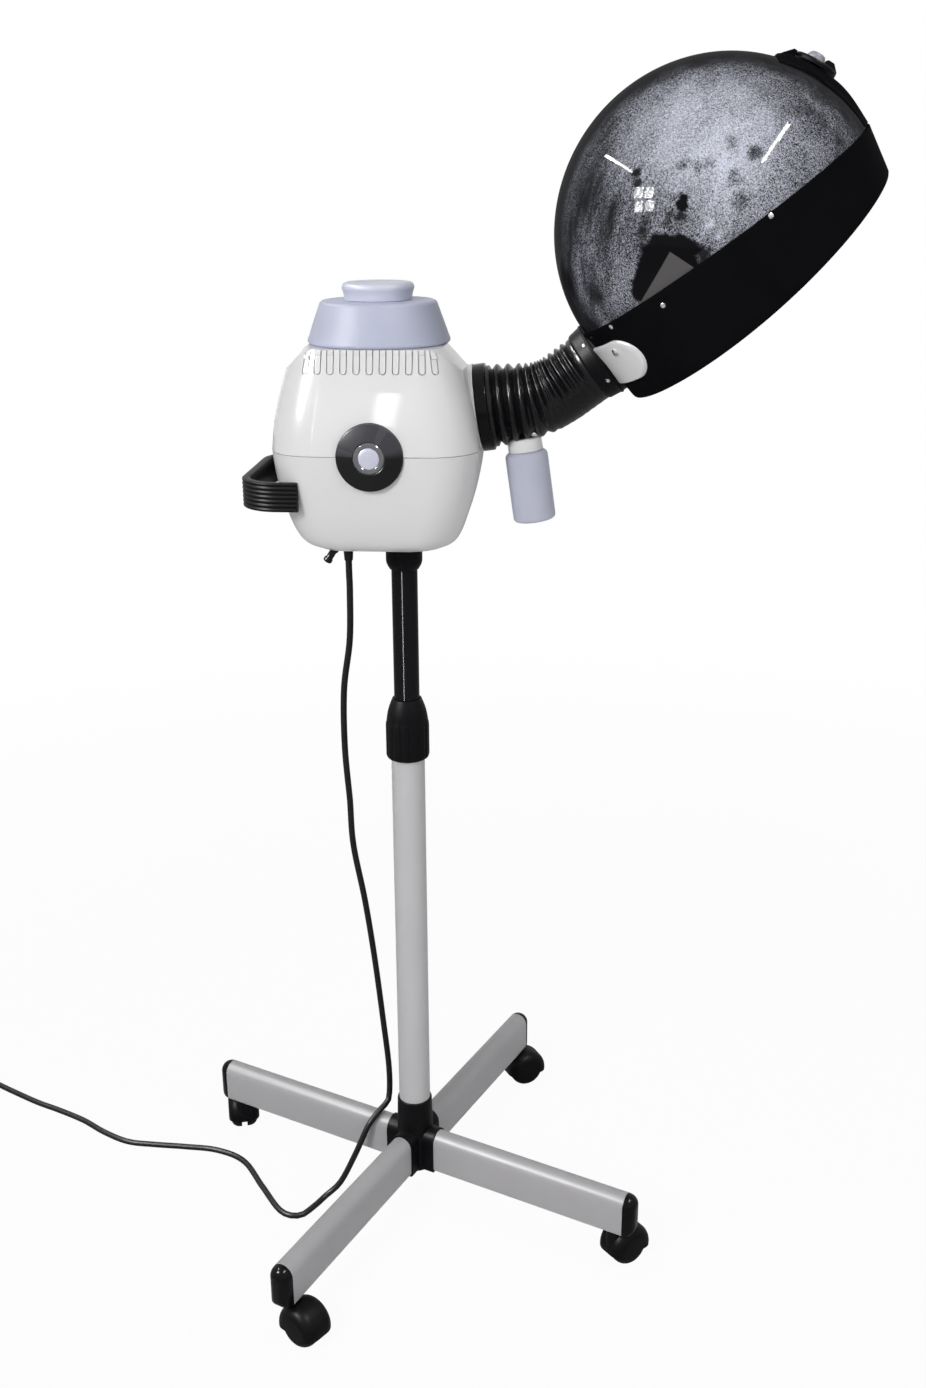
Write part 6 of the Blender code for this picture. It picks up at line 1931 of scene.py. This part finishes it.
@dataclass(frozen=True)
class Hood:
    """Smoke dome on a black skirt, with the saddle at its neck and the vent dial on its front strip."""

    radius: float = .155
    wall: float = .0025
    tuck: float = .0045
    proud: float = .0025
    draft: float = .007
    skirt_wall: float = .0044
    mid_depth: float = .071
    slope: float = .11
    bow: float = .35
    steps: int = 144
    saddle_length: float = .1
    saddle_height: float = .0215
    saddle_drop: float = .037
    saddle_thick: float = .0036
    neck_hole: float = .0258
    hole_start: float = .052
    hole_end: float = .088
    nozzle_start: float = .0803
    nozzle_radius: float = .021
    nozzle_wall: float = .003
    nozzle_reach: float = .07
    nozzle_rise: float = .072
    spine_half: float = .048
    spine_thick: float = .0055
    spine_start: float = .6
    spine_end: float = 38.0
    dial_radius: float = .0205
    dial_thick: float = .0042
    spindle: float = .005
    bar_half: float = .0075
    bar_length: float = .034
    bar_height: float = .0052
    bar_shift: float = -.003
    lug_half: float = .0075
    ramp_half: float = .013
    skirt_screws: tuple[Point, ...] = ((144.4, .004), (120.5, .0116), (77.9, .0026))
    tongue_screw: Point = (150.4, .026)
    small_screw: float = .0025
    large_screw: float = .0042

    def build(self) -> None:
        """Builds the hood."""
        self.dome()
        self.skirt()
        self.saddle()
        self.nozzle()
        self.spine()
        self.dial()
        self.screws()

    @property
    def skirt_radius(self) -> float:
        """Radius of the skirt at its top."""
        return self.radius + self.proud

    def depth(self, u: float) -> float:
        """How far the skirt hangs down at a place along the hood."""
        return self.mid_depth - self.slope * u - self.bow * u * u

    def on_skirt(self, turn: float, share: float, offset: float, lift: float = 0.0) -> Vector:
        """A point on the skirt's wall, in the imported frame.

        Args:
            turn: Angle round the dome's axis, in radians.
            share: How far down the wall, from nought at the top to one at the lip.
            offset: How far out from the wall's face.
            lift: How far above that place.

        Returns:
            The point.
        """
        r = self.skirt_radius - self.draft * share + offset
        z = lift - share * self.depth(self.skirt_radius * cos(turn))
        return HOOD @ at(r * cos(turn), r * sin(turn), z)

    def dome(self) -> None:
        """Half globe with a short straight rim that tucks into the skirt."""
        small = self.radius - self.wall
        profile = [(0.0, self.radius)] + arc(0, 0, self.radius, 90, 0, 48)[1:]
        profile += [(self.radius, -self.tuck), (small, -self.tuck)] + arc(0, 0, small, 0, 90, 32)[:-1] + [(0.0, small)]
        show(lathe("dome_shell", profile, HOOD, self.steps), DOME, "hood", "hood_dome")

    def skirt(self) -> None:
        """Drafted wall, deepest at the back, with a rolled lip and a ledge that carries the dome."""
        turns = [2 * pi * i / self.steps for i in range(self.steps)]
        w = self.skirt_wall
        rows = [(0.0, -.001, 0.0), (0.0, -.0003, -.0003), (0.0, 0.0, -.001)]
        rows += [(share, 0.0, 0.0) for share in (.06, .16, .3, .45, .6, .75, .88, .95)]
        rows += [(1.0, -.0002, .0016), (1.0, -.0008, .0006), (1.0, -.0018, 0.0), (1.0, -.003, 0.0),
            (1.0, -.004, .0006), (1.0, -w, .0018)]
        rows += [(share, -w, 0.0) for share in (.85, .6, .35, .12)]
        rings = [[self.on_skirt(a, *row) for a in turns] for row in rows]
        ledge = -self.tuck - GAP
        seat = self.radius + GAP
        for r, z in ((self.skirt_radius - w - .002, ledge), (seat, ledge), (seat, 0.0)):
            rings.append([HOOD @ at(r * cos(a), r * sin(a), z) for a in turns])
        skirt = skin("skirt_shell", rings, wrap=True)
        end = self.nozzle_start + .008
        hole = rod("skirt_neck_hole", self.neck_hole, self.hole_start, end, HINGE @ ALONG_X, 48)
        show(carve(skirt, [hole]), SKIRT, "hood", "hood_skirt")

    def saddle_ring(self, inset: float, offset: float) -> list[Vector]:
        """An outline with round ends, drawn in by an inset and wrapped on the back of the skirt.

        Args:
            inset: How far it is drawn in.
            offset: Distance off the skirt's face.

        Returns:
            The outline's points.
        """
        half, flat = self.saddle_height - inset, self.saddle_length - self.saddle_height
        outline = arc(flat, 0, half, -90, 90, 16) + [(flat * (1 - i / 16), half) for i in range(1, 32)]
        outline += arc(-flat, 0, half, 90, 270, 16) + [(flat * (i / 16 - 1), -half) for i in range(1, 32)]
        points = []
        for y, t in outline:
            v = t - self.saddle_drop
            r = self.skirt_radius
            for _ in range(3):
                u = -sqrt(r * r - y * y)
                r = self.skirt_radius + self.draft * v / self.depth(u) + offset
            points.append(HOOD @ at(-sqrt(r * r - y * y), y, v))
        return points

    def saddle(self) -> None:
        """White plate with tongue-shaped ends, wrapped round the back of the skirt."""
        under, thick, full = 2 * GAP, self.saddle_thick, self.saddle_height
        rows = [(full, under), (0.0, under), (0.0, thick - .0018), (.0003, thick - .0009), (.0009, thick - .0003),
            (.0018, thick)]
        rows += [(full * share, thick) for share in (.2, .4, .6, .8, 1.0)]
        plate = skin("neck_plate", [self.saddle_ring(*row) for row in rows], ends=False)
        hole = rod("plate_neck_hole", self.neck_hole, self.hole_start, self.hole_end, HINGE @ ALONG_X, 48)
        show(carve(plate, [hole]), IVORY, "hood", "neck_saddle")

    def nozzle(self) -> None:
        """Steam elbow inside the hood, open at its end."""
        turn = self.nozzle_reach * .72
        straight = self.nozzle_start + self.nozzle_reach - turn
        points = [at(self.nozzle_start, 0, 0), at(straight, 0, 0)]
        points += [at(straight + turn * sin(a), 0, turn * (1 - cos(a))) for a in (radians(6 * i) for i in range(1, 16))]
        points.append(at(straight + turn, 0, self.nozzle_rise))
        points = [HINGE @ p for p in points]
        flare = [self.nozzle_radius * (1 + .25 * i / (len(points) - 1)) for i in range(len(points))]
        elbow = sweep("steam_elbow", points, flare, 40)
        ends = [points[0] * 2 - points[1], *points[1:-1], points[-1] * 2 - points[-2]]
        bore = sweep("elbow_bore", ends, [r - self.nozzle_wall for r in flare], 40)
        show(carve(elbow, [bore]), BLACK_MATT, "hood", "steam_nozzle")

    def spine(self) -> None:
        """Front strip that follows the dome up from the skirt."""
        inner, outer = self.radius + GAP, self.radius + self.spine_thick
        span = asin(self.spine_half / inner)
        rings = []
        for i in range(33):
            turn = radians(self.spine_start + (self.spine_end - self.spine_start) * i / 32)
            thin = 1.0 if i < 29 else sqrt(max(0.0, 1 - ((i - 28) / 4.4) ** 2)) * .8 + .2
            rise = min(1.0, i / 14)
            thin *= .4 + .6 * rise * rise * (3 - 2 * rise)
            ring = []
            for a, level in self.spine_section(span):
                reach = inner + (outer - inner) * level * thin
                ring.append(HOOD @ at(reach * cos(a) * cos(turn), reach * sin(a), reach * cos(a) * sin(turn)))
            rings.append(ring)
        strip = skin("front_strip", rings)
        hole = rod("spindle_hole", self.spindle + GAP, inner - .002, outer + .002, DIAL, 32)
        carve(strip, [self.ramp(outer)], "UNION")
        show(round_edges(carve(strip, [hole]), .0007, 34), SKIRT, "hood", "vent_spine")

    def ramp(self, outer: float) -> Obj:
        """Wedge on the strip that stops the dial's edge from being caught.

        Args:
            outer: Level of the strip's outer face.

        Returns:
            The wedge.
        """
        far, near = -self.dial_radius - .012, -self.dial_radius - .0008
        outline = [(far, outer * .972), (near, outer * .98), (near, outer + .003), (near - .0035, outer + .003)]
        return prism("strip_ramp", [(x, -z) for x, z in outline], -self.ramp_half, self.ramp_half,
            DIAL @ FACING_FRONT.inverted())

    def spine_section(self, span: float) -> list[Point]:
        """The strip's section as angles across the dome and levels of its thickness.

        Args:
            span: Half of the angle it covers.

        Returns:
            Pairs of an angle and a level.
        """
        lower = [(span * (2 * i / 16 - 1), 0.0) for i in range(17)]
        upper = []
        for i in range(33):
            share = 1 - 2 * i / 32
            fall = min(max((abs(share) - .45) / .45, 0.0), 1.0)
            upper.append((span * .985 * share, 1.0 - .8 * fall * fall * (3 - 2 * fall)))
        return lower + upper

    def dial(self) -> None:
        """Vent dial with a raised grip bar."""
        seat = self.radius + self.spine_thick + GAP
        top, tip, r = seat + self.dial_thick, self.radius + 3 * GAP, self.dial_radius
        profile = [(0, top), (r, top, .0028), (r, seat), (self.spindle, seat), (self.spindle, tip), (0, tip)]
        disc = lathe("vent_disc", profile, DIAL, 72)
        lug = [(.006, top - .001), (.006, top + .004), (.0075, top + .0054), (.0135, top + .0052),
            (.0195, top - .0006), (.0195, top - .001)]
        lugs = prism("vent_lug", [(x, -z) for x, z in lug], -self.lug_half, self.lug_half,
            DIAL @ FACING_FRONT.inverted())
        show(round_edges(carve(disc, [lugs], "UNION"), .0006, 34), BLACK_MATT, "vent", "vent_dial")
        flat, low, tall = self.bar_length / 2 - self.bar_half, top + GAP, self.bar_height
        rings = []
        for inset, rise in ((0.0, 0.0), (0.0, tall - .0022), (.0004, tall - .0012), (.0012, tall - .0005),
                (.0024, tall)):
            half = self.bar_half - inset
            outline = arc(0, flat, half, 0, 180, 16) + arc(0, -flat, half, 180, 360, 16)
            rings.append([DIAL @ at(x + self.bar_shift, y, low + rise) for x, y in outline])
        show(skin("vent_bar", rings), GRIP_LILAC, "vent", "vent_grip")

    def screws(self) -> None:
        """Screws round the skirt's top and one at the end of each saddle tongue."""
        for side in (-1, 1):
            for k, (turn, drop) in enumerate(self.skirt_screws):
                self.screw_on_skirt(f"skirt_screw_{side + 2}{k}", side * radians(turn), drop, 0.0, self.small_screw)
            turn, drop = self.tongue_screw
            self.screw_on_skirt(f"saddle_screw_{side + 2}", side * radians(turn), drop, self.saddle_thick,
                self.large_screw)

    def screw_on_skirt(self, name: str, turn: float, drop: float, offset: float, radius: float) -> None:
        """One screw, square on the skirt's wall.

        Args:
            name: Name of the screw.
            turn: Angle round the hood.
            drop: Distance below the rim.
            offset: Distance off the wall.
            radius: Radius of the head.
        """
        share = drop / self.depth(self.skirt_radius * cos(turn))
        spot = self.on_skirt(turn, share, offset)
        out = HOOD.to_3x3() @ at(cos(turn), sin(turn), 0.0)
        screw(name, aimed(spot, out), radius, "hood")


# ---- mains lead


@dataclass(frozen=True)
class Lead:
    """Mains lead: it hangs behind the pole, runs along the floor and is put away as a tied coil."""

    diameter: float = .007
    boot_place: Point = (-.0595, .012)
    boot_length: float = .026
    body_bottom: float = .8065
    hang: tuple = ((-.06, .016, .745), (-.063, .023, .69), (-.072, .029, .632), (-.0735, .03, .565), (-.07, .031, .5))
    fall: tuple = ((-.07, .031, .5), (-.068, .032, .445), (-.057, .033, .375), (-.048, .034, .3),
        (-.04, .035, .215), (-.0345, .0345, .15), (-.0348, .027, .113), (-.0425, .0165, .106), (-.056, .002, .092),
        (-.072, -.007, .056), (-.09, -.013, .02), (-.107, -.02, .005), (-.119, -.04, .0038), (-.133, -.0565, .0038),
        (-.156, -.05, .0038), (-.187, -.008, .0038), (-.22, .038, .0038), (-.258, .057, .0038), (-.3, .061, .0038),
        (-.34, .0625, .0038), (-.376, .066, .0038), (-.412, .083, .0038), (-.446, .105, .0038),
        (-.485, .124, .0038), (-.518, .138, .0038), (-.552, .1555, .0038), (-.585, .1735, .0038))
    coil_centre: Point = (-.653, .1555)
    coil_start: float = 62.5
    coil_outer: float = .0465
    coil_pitch: float = .0078
    coil_turns: int = 2
    coil_steps: int = 44
    tail: float = .036
    plug_lift: float = .0153
    step: float = .008

    def at_pole(self, points: Iterable[Sequence[float]]) -> list[Vector]:
        """Points given from the foot of the pole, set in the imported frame."""
        return [POLE @ Vector(p) for p in points]

    def coil(self) -> list[Vector]:
        """Two layers of loops: spiral in, climb in half a turn, spiral out, then the tail to the plug.

        Returns:
            Points along the lead.
        """
        points, pitch, steps = [], self.coil_pitch, self.coil_steps
        inward, climb = self.coil_turns * steps, steps // 2
        inner = self.coil_outer - pitch * self.coil_turns
        centre = at(*self.coil_centre, self.diameter / 2 + GAP)
        for i in range(2 * inward + climb + 1):
            turn = radians(self.coil_start) + 2 * pi * i / steps
            if i <= inward:
                radius, lift = self.coil_outer - pitch * i / steps, 0.0
            elif i <= inward + climb:
                share = (i - inward) / climb
                radius, lift = inner - .15 * pitch * sin(pi * share), (1 - cos(pi * share)) / 2
            else:
                radius, lift = inner + pitch * (i - inward - climb) / steps, 1.0
            points.append(centre + at(radius * cos(turn), radius * sin(turn), pitch * lift))
        return points

    def build(self) -> None:
        """Builds both stretches of the lead, the coil's tie and the plug's finish."""
        low = self.body_bottom - self.boot_length - GAP
        start = (*self.boot_place, low)
        straight = (*self.boot_place, low - 2 * self.diameter)
        hang = smooth_line(self.at_pole((start, straight) + self.hang), self.step)
        upper = sweep("mains_lead_upper", hang, self.diameter / 2, 16)
        show(upper, LEAD_SKIN, None, "cord_upper")
        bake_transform(upper)
        coil = self.coil()
        back = (coil[0] - coil[1]).normalized()
        run_in = [coil[0] + back * 2 * self.diameter * n for n in (2, 1)]
        fall = smooth_line(self.at_pole(list(self.fall) + run_in), self.step)
        heading = coil[-1] - coil[-2]
        heading.z = 0.0
        heading.normalize()
        loop_end = coil[-1].copy()
        rise = self.plug_lift - loop_end.z
        for i in range(1, 7):
            share = min(1.0, i / 5)
            coil.append(loop_end + heading * self.tail * i / 6 + UP * rise * share * share * (3 - 2 * share))
        path = fall + self.at_pole(coil)
        lower = sweep("mains_lead_lower", path, self.diameter / 2, 16)
        show(lower, LEAD_SKIN, None, "cord_lower", "cord_coil")
        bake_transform(lower)
        self.tie()
        dress("mains_plug", BLACK_MATT, .0006)
        dress("cord_boot", RUBBER, .0004)

    def tie(self) -> None:
        """Wire tie round the coil's loops."""
        turn = radians(self.coil_start + 150.0)
        out = at(cos(turn), sin(turn), 0.0)
        middle = self.coil_outer - self.coil_pitch
        half_wide = self.coil_pitch * 1.5 + self.diameter / 2 - .0012
        half_tall = self.coil_pitch / 2 + self.diameter / 2 + .0006
        centre = at(*self.coil_centre, self.diameter / 2 + GAP + self.coil_pitch / 2)
        points = []
        for i in range(33):
            a = 2 * pi * i / 32
            flat_x = abs(cos(a)) ** .6 * (1 if cos(a) >= 0 else -1)
            flat_z = abs(sin(a)) ** .6 * (1 if sin(a) >= 0 else -1)
            points.append(centre + out * (middle + half_wide * flat_x) + UP * max(half_tall * flat_z,
                -centre.z + .0012))
        tie = sweep("lead_tie", self.at_pole(points), .001, 8)
        show(tie, BLACK_MATT, "base")


# ---- stage, camera and lights


@dataclass(frozen=True)
class Stage:
    """Pale floor, white surround, soft lamps and the photograph's camera."""

    eye: Triple = (.0827, -1.4426, 1.1552)
    yaw: float = -4.654
    pitch: float = 19.584
    roll: float = -.344
    lens: float = 37.717
    floor_size: float = 14.0
    window_receivers: tuple[str, ...] = ("body_lid", "column_upper")
    ambient: float = .3
    floor_white: float = .95

    def build(self) -> None:
        """Sets up the view."""
        self.camera()
        self.world()
        self.floor()
        self.lamps()
        bpy.context.scene.view_settings.view_transform = "Standard"

    def camera(self) -> None:
        """Camera at the photograph's standpoint."""
        data = bpy.data.cameras.new("photo_camera")
        data.lens = self.lens
        data.sensor_width = 36.0
        data.sensor_fit = "AUTO"
        camera = bpy.data.objects.new("photo_camera", data)
        bpy.context.scene.collection.objects.link(camera)
        turn = turned(-self.yaw, "Z") @ turned(90 - self.pitch, "X") @ turned(self.roll, "Z")
        camera.matrix_world = Matrix.Translation(self.eye) @ turn
        bpy.context.scene.camera = camera

    def world(self) -> None:
        """Even light, seen as white by the camera, by gloss and through glass."""
        world = bpy.data.worlds.new("studio")
        g = graph_of(world)
        path = g.add("LightPath").outputs
        seen = g.maths("MAXIMUM", path["Is Camera Ray"], path["Is Transmission Ray"])
        seen = g.maths("MAXIMUM", seen, path["Is Glossy Ray"])
        level = g.span(seen, 0.0, 1.0, self.ambient, 1.0, smooth=False)
        back = g.add("Background", {"Color": (1.0, 1.0, 1.0), "Strength": level})
        g.feed(g.add("OutputWorld").inputs["Surface"], back.outputs[0])
        bpy.context.scene.world = world

    def floor(self) -> None:
        """Pale floor that keeps a faint shadow."""
        bm = bmesh.new()
        bmesh.ops.create_grid(bm, x_segments=1, y_segments=1, size=self.floor_size / 2)
        floor = mesh_object("floor", bm)
        made = bpy.data.materials.new("pale_floor")
        g = graph_of(made)
        paint = g.add("BsdfDiffuse", {"Color": (.8, .8, .8)})
        lit = g.add("Emission", {"Color": (1.0, 1.0, 1.0), "Strength": 1.0})
        away = g.vector("LENGTH", g.place(), (0, 0, 0), "Value")
        white = g.span(away, .7, 2.6, self.floor_white, 1.0)
        seen = g.maths("MULTIPLY", g.add("LightPath").outputs["Is Camera Ray"], white)
        mixed = g.add("MixShader", {0: seen, 1: paint.outputs[0], 2: lit.outputs[0]})
        g.feed(g.add("OutputMaterial").inputs["Surface"], mixed.outputs[0])
        floor.data.materials.append(made)

    def lamp(self, name: str, place: Sequence[float], target: Sequence[float], size: Point, power: float,
            along: Optional[Vector] = None, shine: bool = False) -> Obj:
        """One soft lamp.

        Args:
            name: The lamp's name.
            place: Where it hangs.
            target: What it faces.
            size: Its width and height.
            power: Its power in watts.
            along: Direction of its width, where that matters.
            shine: Whether it is only for reflections; any other lamp is left out of them.

        Returns:
            The lamp.
        """
        data = bpy.data.lights.new(name, "AREA")
        data.shape = "RECTANGLE"
        data.size, data.size_y = size
        data.energy = power
        lamp = bpy.data.objects.new(name, data)
        bpy.context.scene.collection.objects.link(lamp)
        back = Vector(place) - Vector(target)
        lamp.matrix_world = aimed(place, back, along or UP.cross(back))
        lamp.visible_diffuse = not shine
        lamp.visible_glossy = shine
        lamp.visible_camera = False
        return lamp

    def lamps(self) -> None:
        """Key, fill and top lamps, and the strips and window panes that gloss reflects."""
        aim = at(0.0, 0.0, .85)
        self.lamp("key_lamp", (-1.1, -2.1, 2.0), aim, (.8, .8), 36.0)
        self.lamp("fill_lamp", (2.0, -1.4, 1.5), aim, (1.6, 1.6), 12.0)
        self.lamp("top_lamp", (.1, .2, 2.9), aim, (1.6, 1.6), 6.0)
        lit = bpy.data.collections.new("window_receivers")
        for piece in self.window_receivers:
            lit.objects.link(bpy.data.objects[piece])
        for name, place, size, power in (("tall_window", (-.64, -2.2, 1.45), (.07, .9), 3.5),
                ("wide_window", (-.36, -1.99, 1.53), (.05, .42), 1.5),
                ("low_window", (-.36, -.86, .44), (.05, .6), 9.0)):
            window = self.lamp(name, place, (-.1, 0.0, place[2]), size, power, None, True)
            window.light_linking.receiver_collection = lit
        dome = HOOD.to_translation()
        for name, one, two, width, power in (("left_strip", (-1.4802, .6277, 2.1689), (-1.5446, -.4525, 2.2109),
                .048, 72.0), ("right_strip", (1.2824, -.3159, 2.8977), (.9002, -1.4209, 2.5471), .07, 104.0)):
            start, end = Vector(one), Vector(two)
            self.lamp(name, (start + end) / 2, dome, ((end - start).length, width), power, end - start, True)
        self.window(dome)

    def window(self, target: Vector) -> None:
        """Four panes of a window, each a small lamp.

        Args:
            target: Point that the lamps face.
        """
        corner, across = at(-1.5934, -.695, 1.9964), at(.2869, -.4638, .0722)
        down = at(-.0559, -.2456, -.509)
        for i in range(2):
            for k in range(2):
                middle = corner + across * (.25 + .5 * i) + down * (.25 + .5 * k)
                self.lamp(f"window_pane_{i}{k}", middle, target, (across.length * .4, down.length * .4), 34.0,
                    across, True)


# ---- whole part


def main() -> None:
    """Builds and dresses the whole part."""
    logging.basicConfig(level=logging.INFO, format="%(message)s")
    for assembly in (RollingBase(), Column(), Housing(), Tank(), Neck(), Hood(), Lead(), Stage()):
        log.info("building %s", type(assembly).__name__)
        assembly.build()


if __name__ == "__main__":
    main()
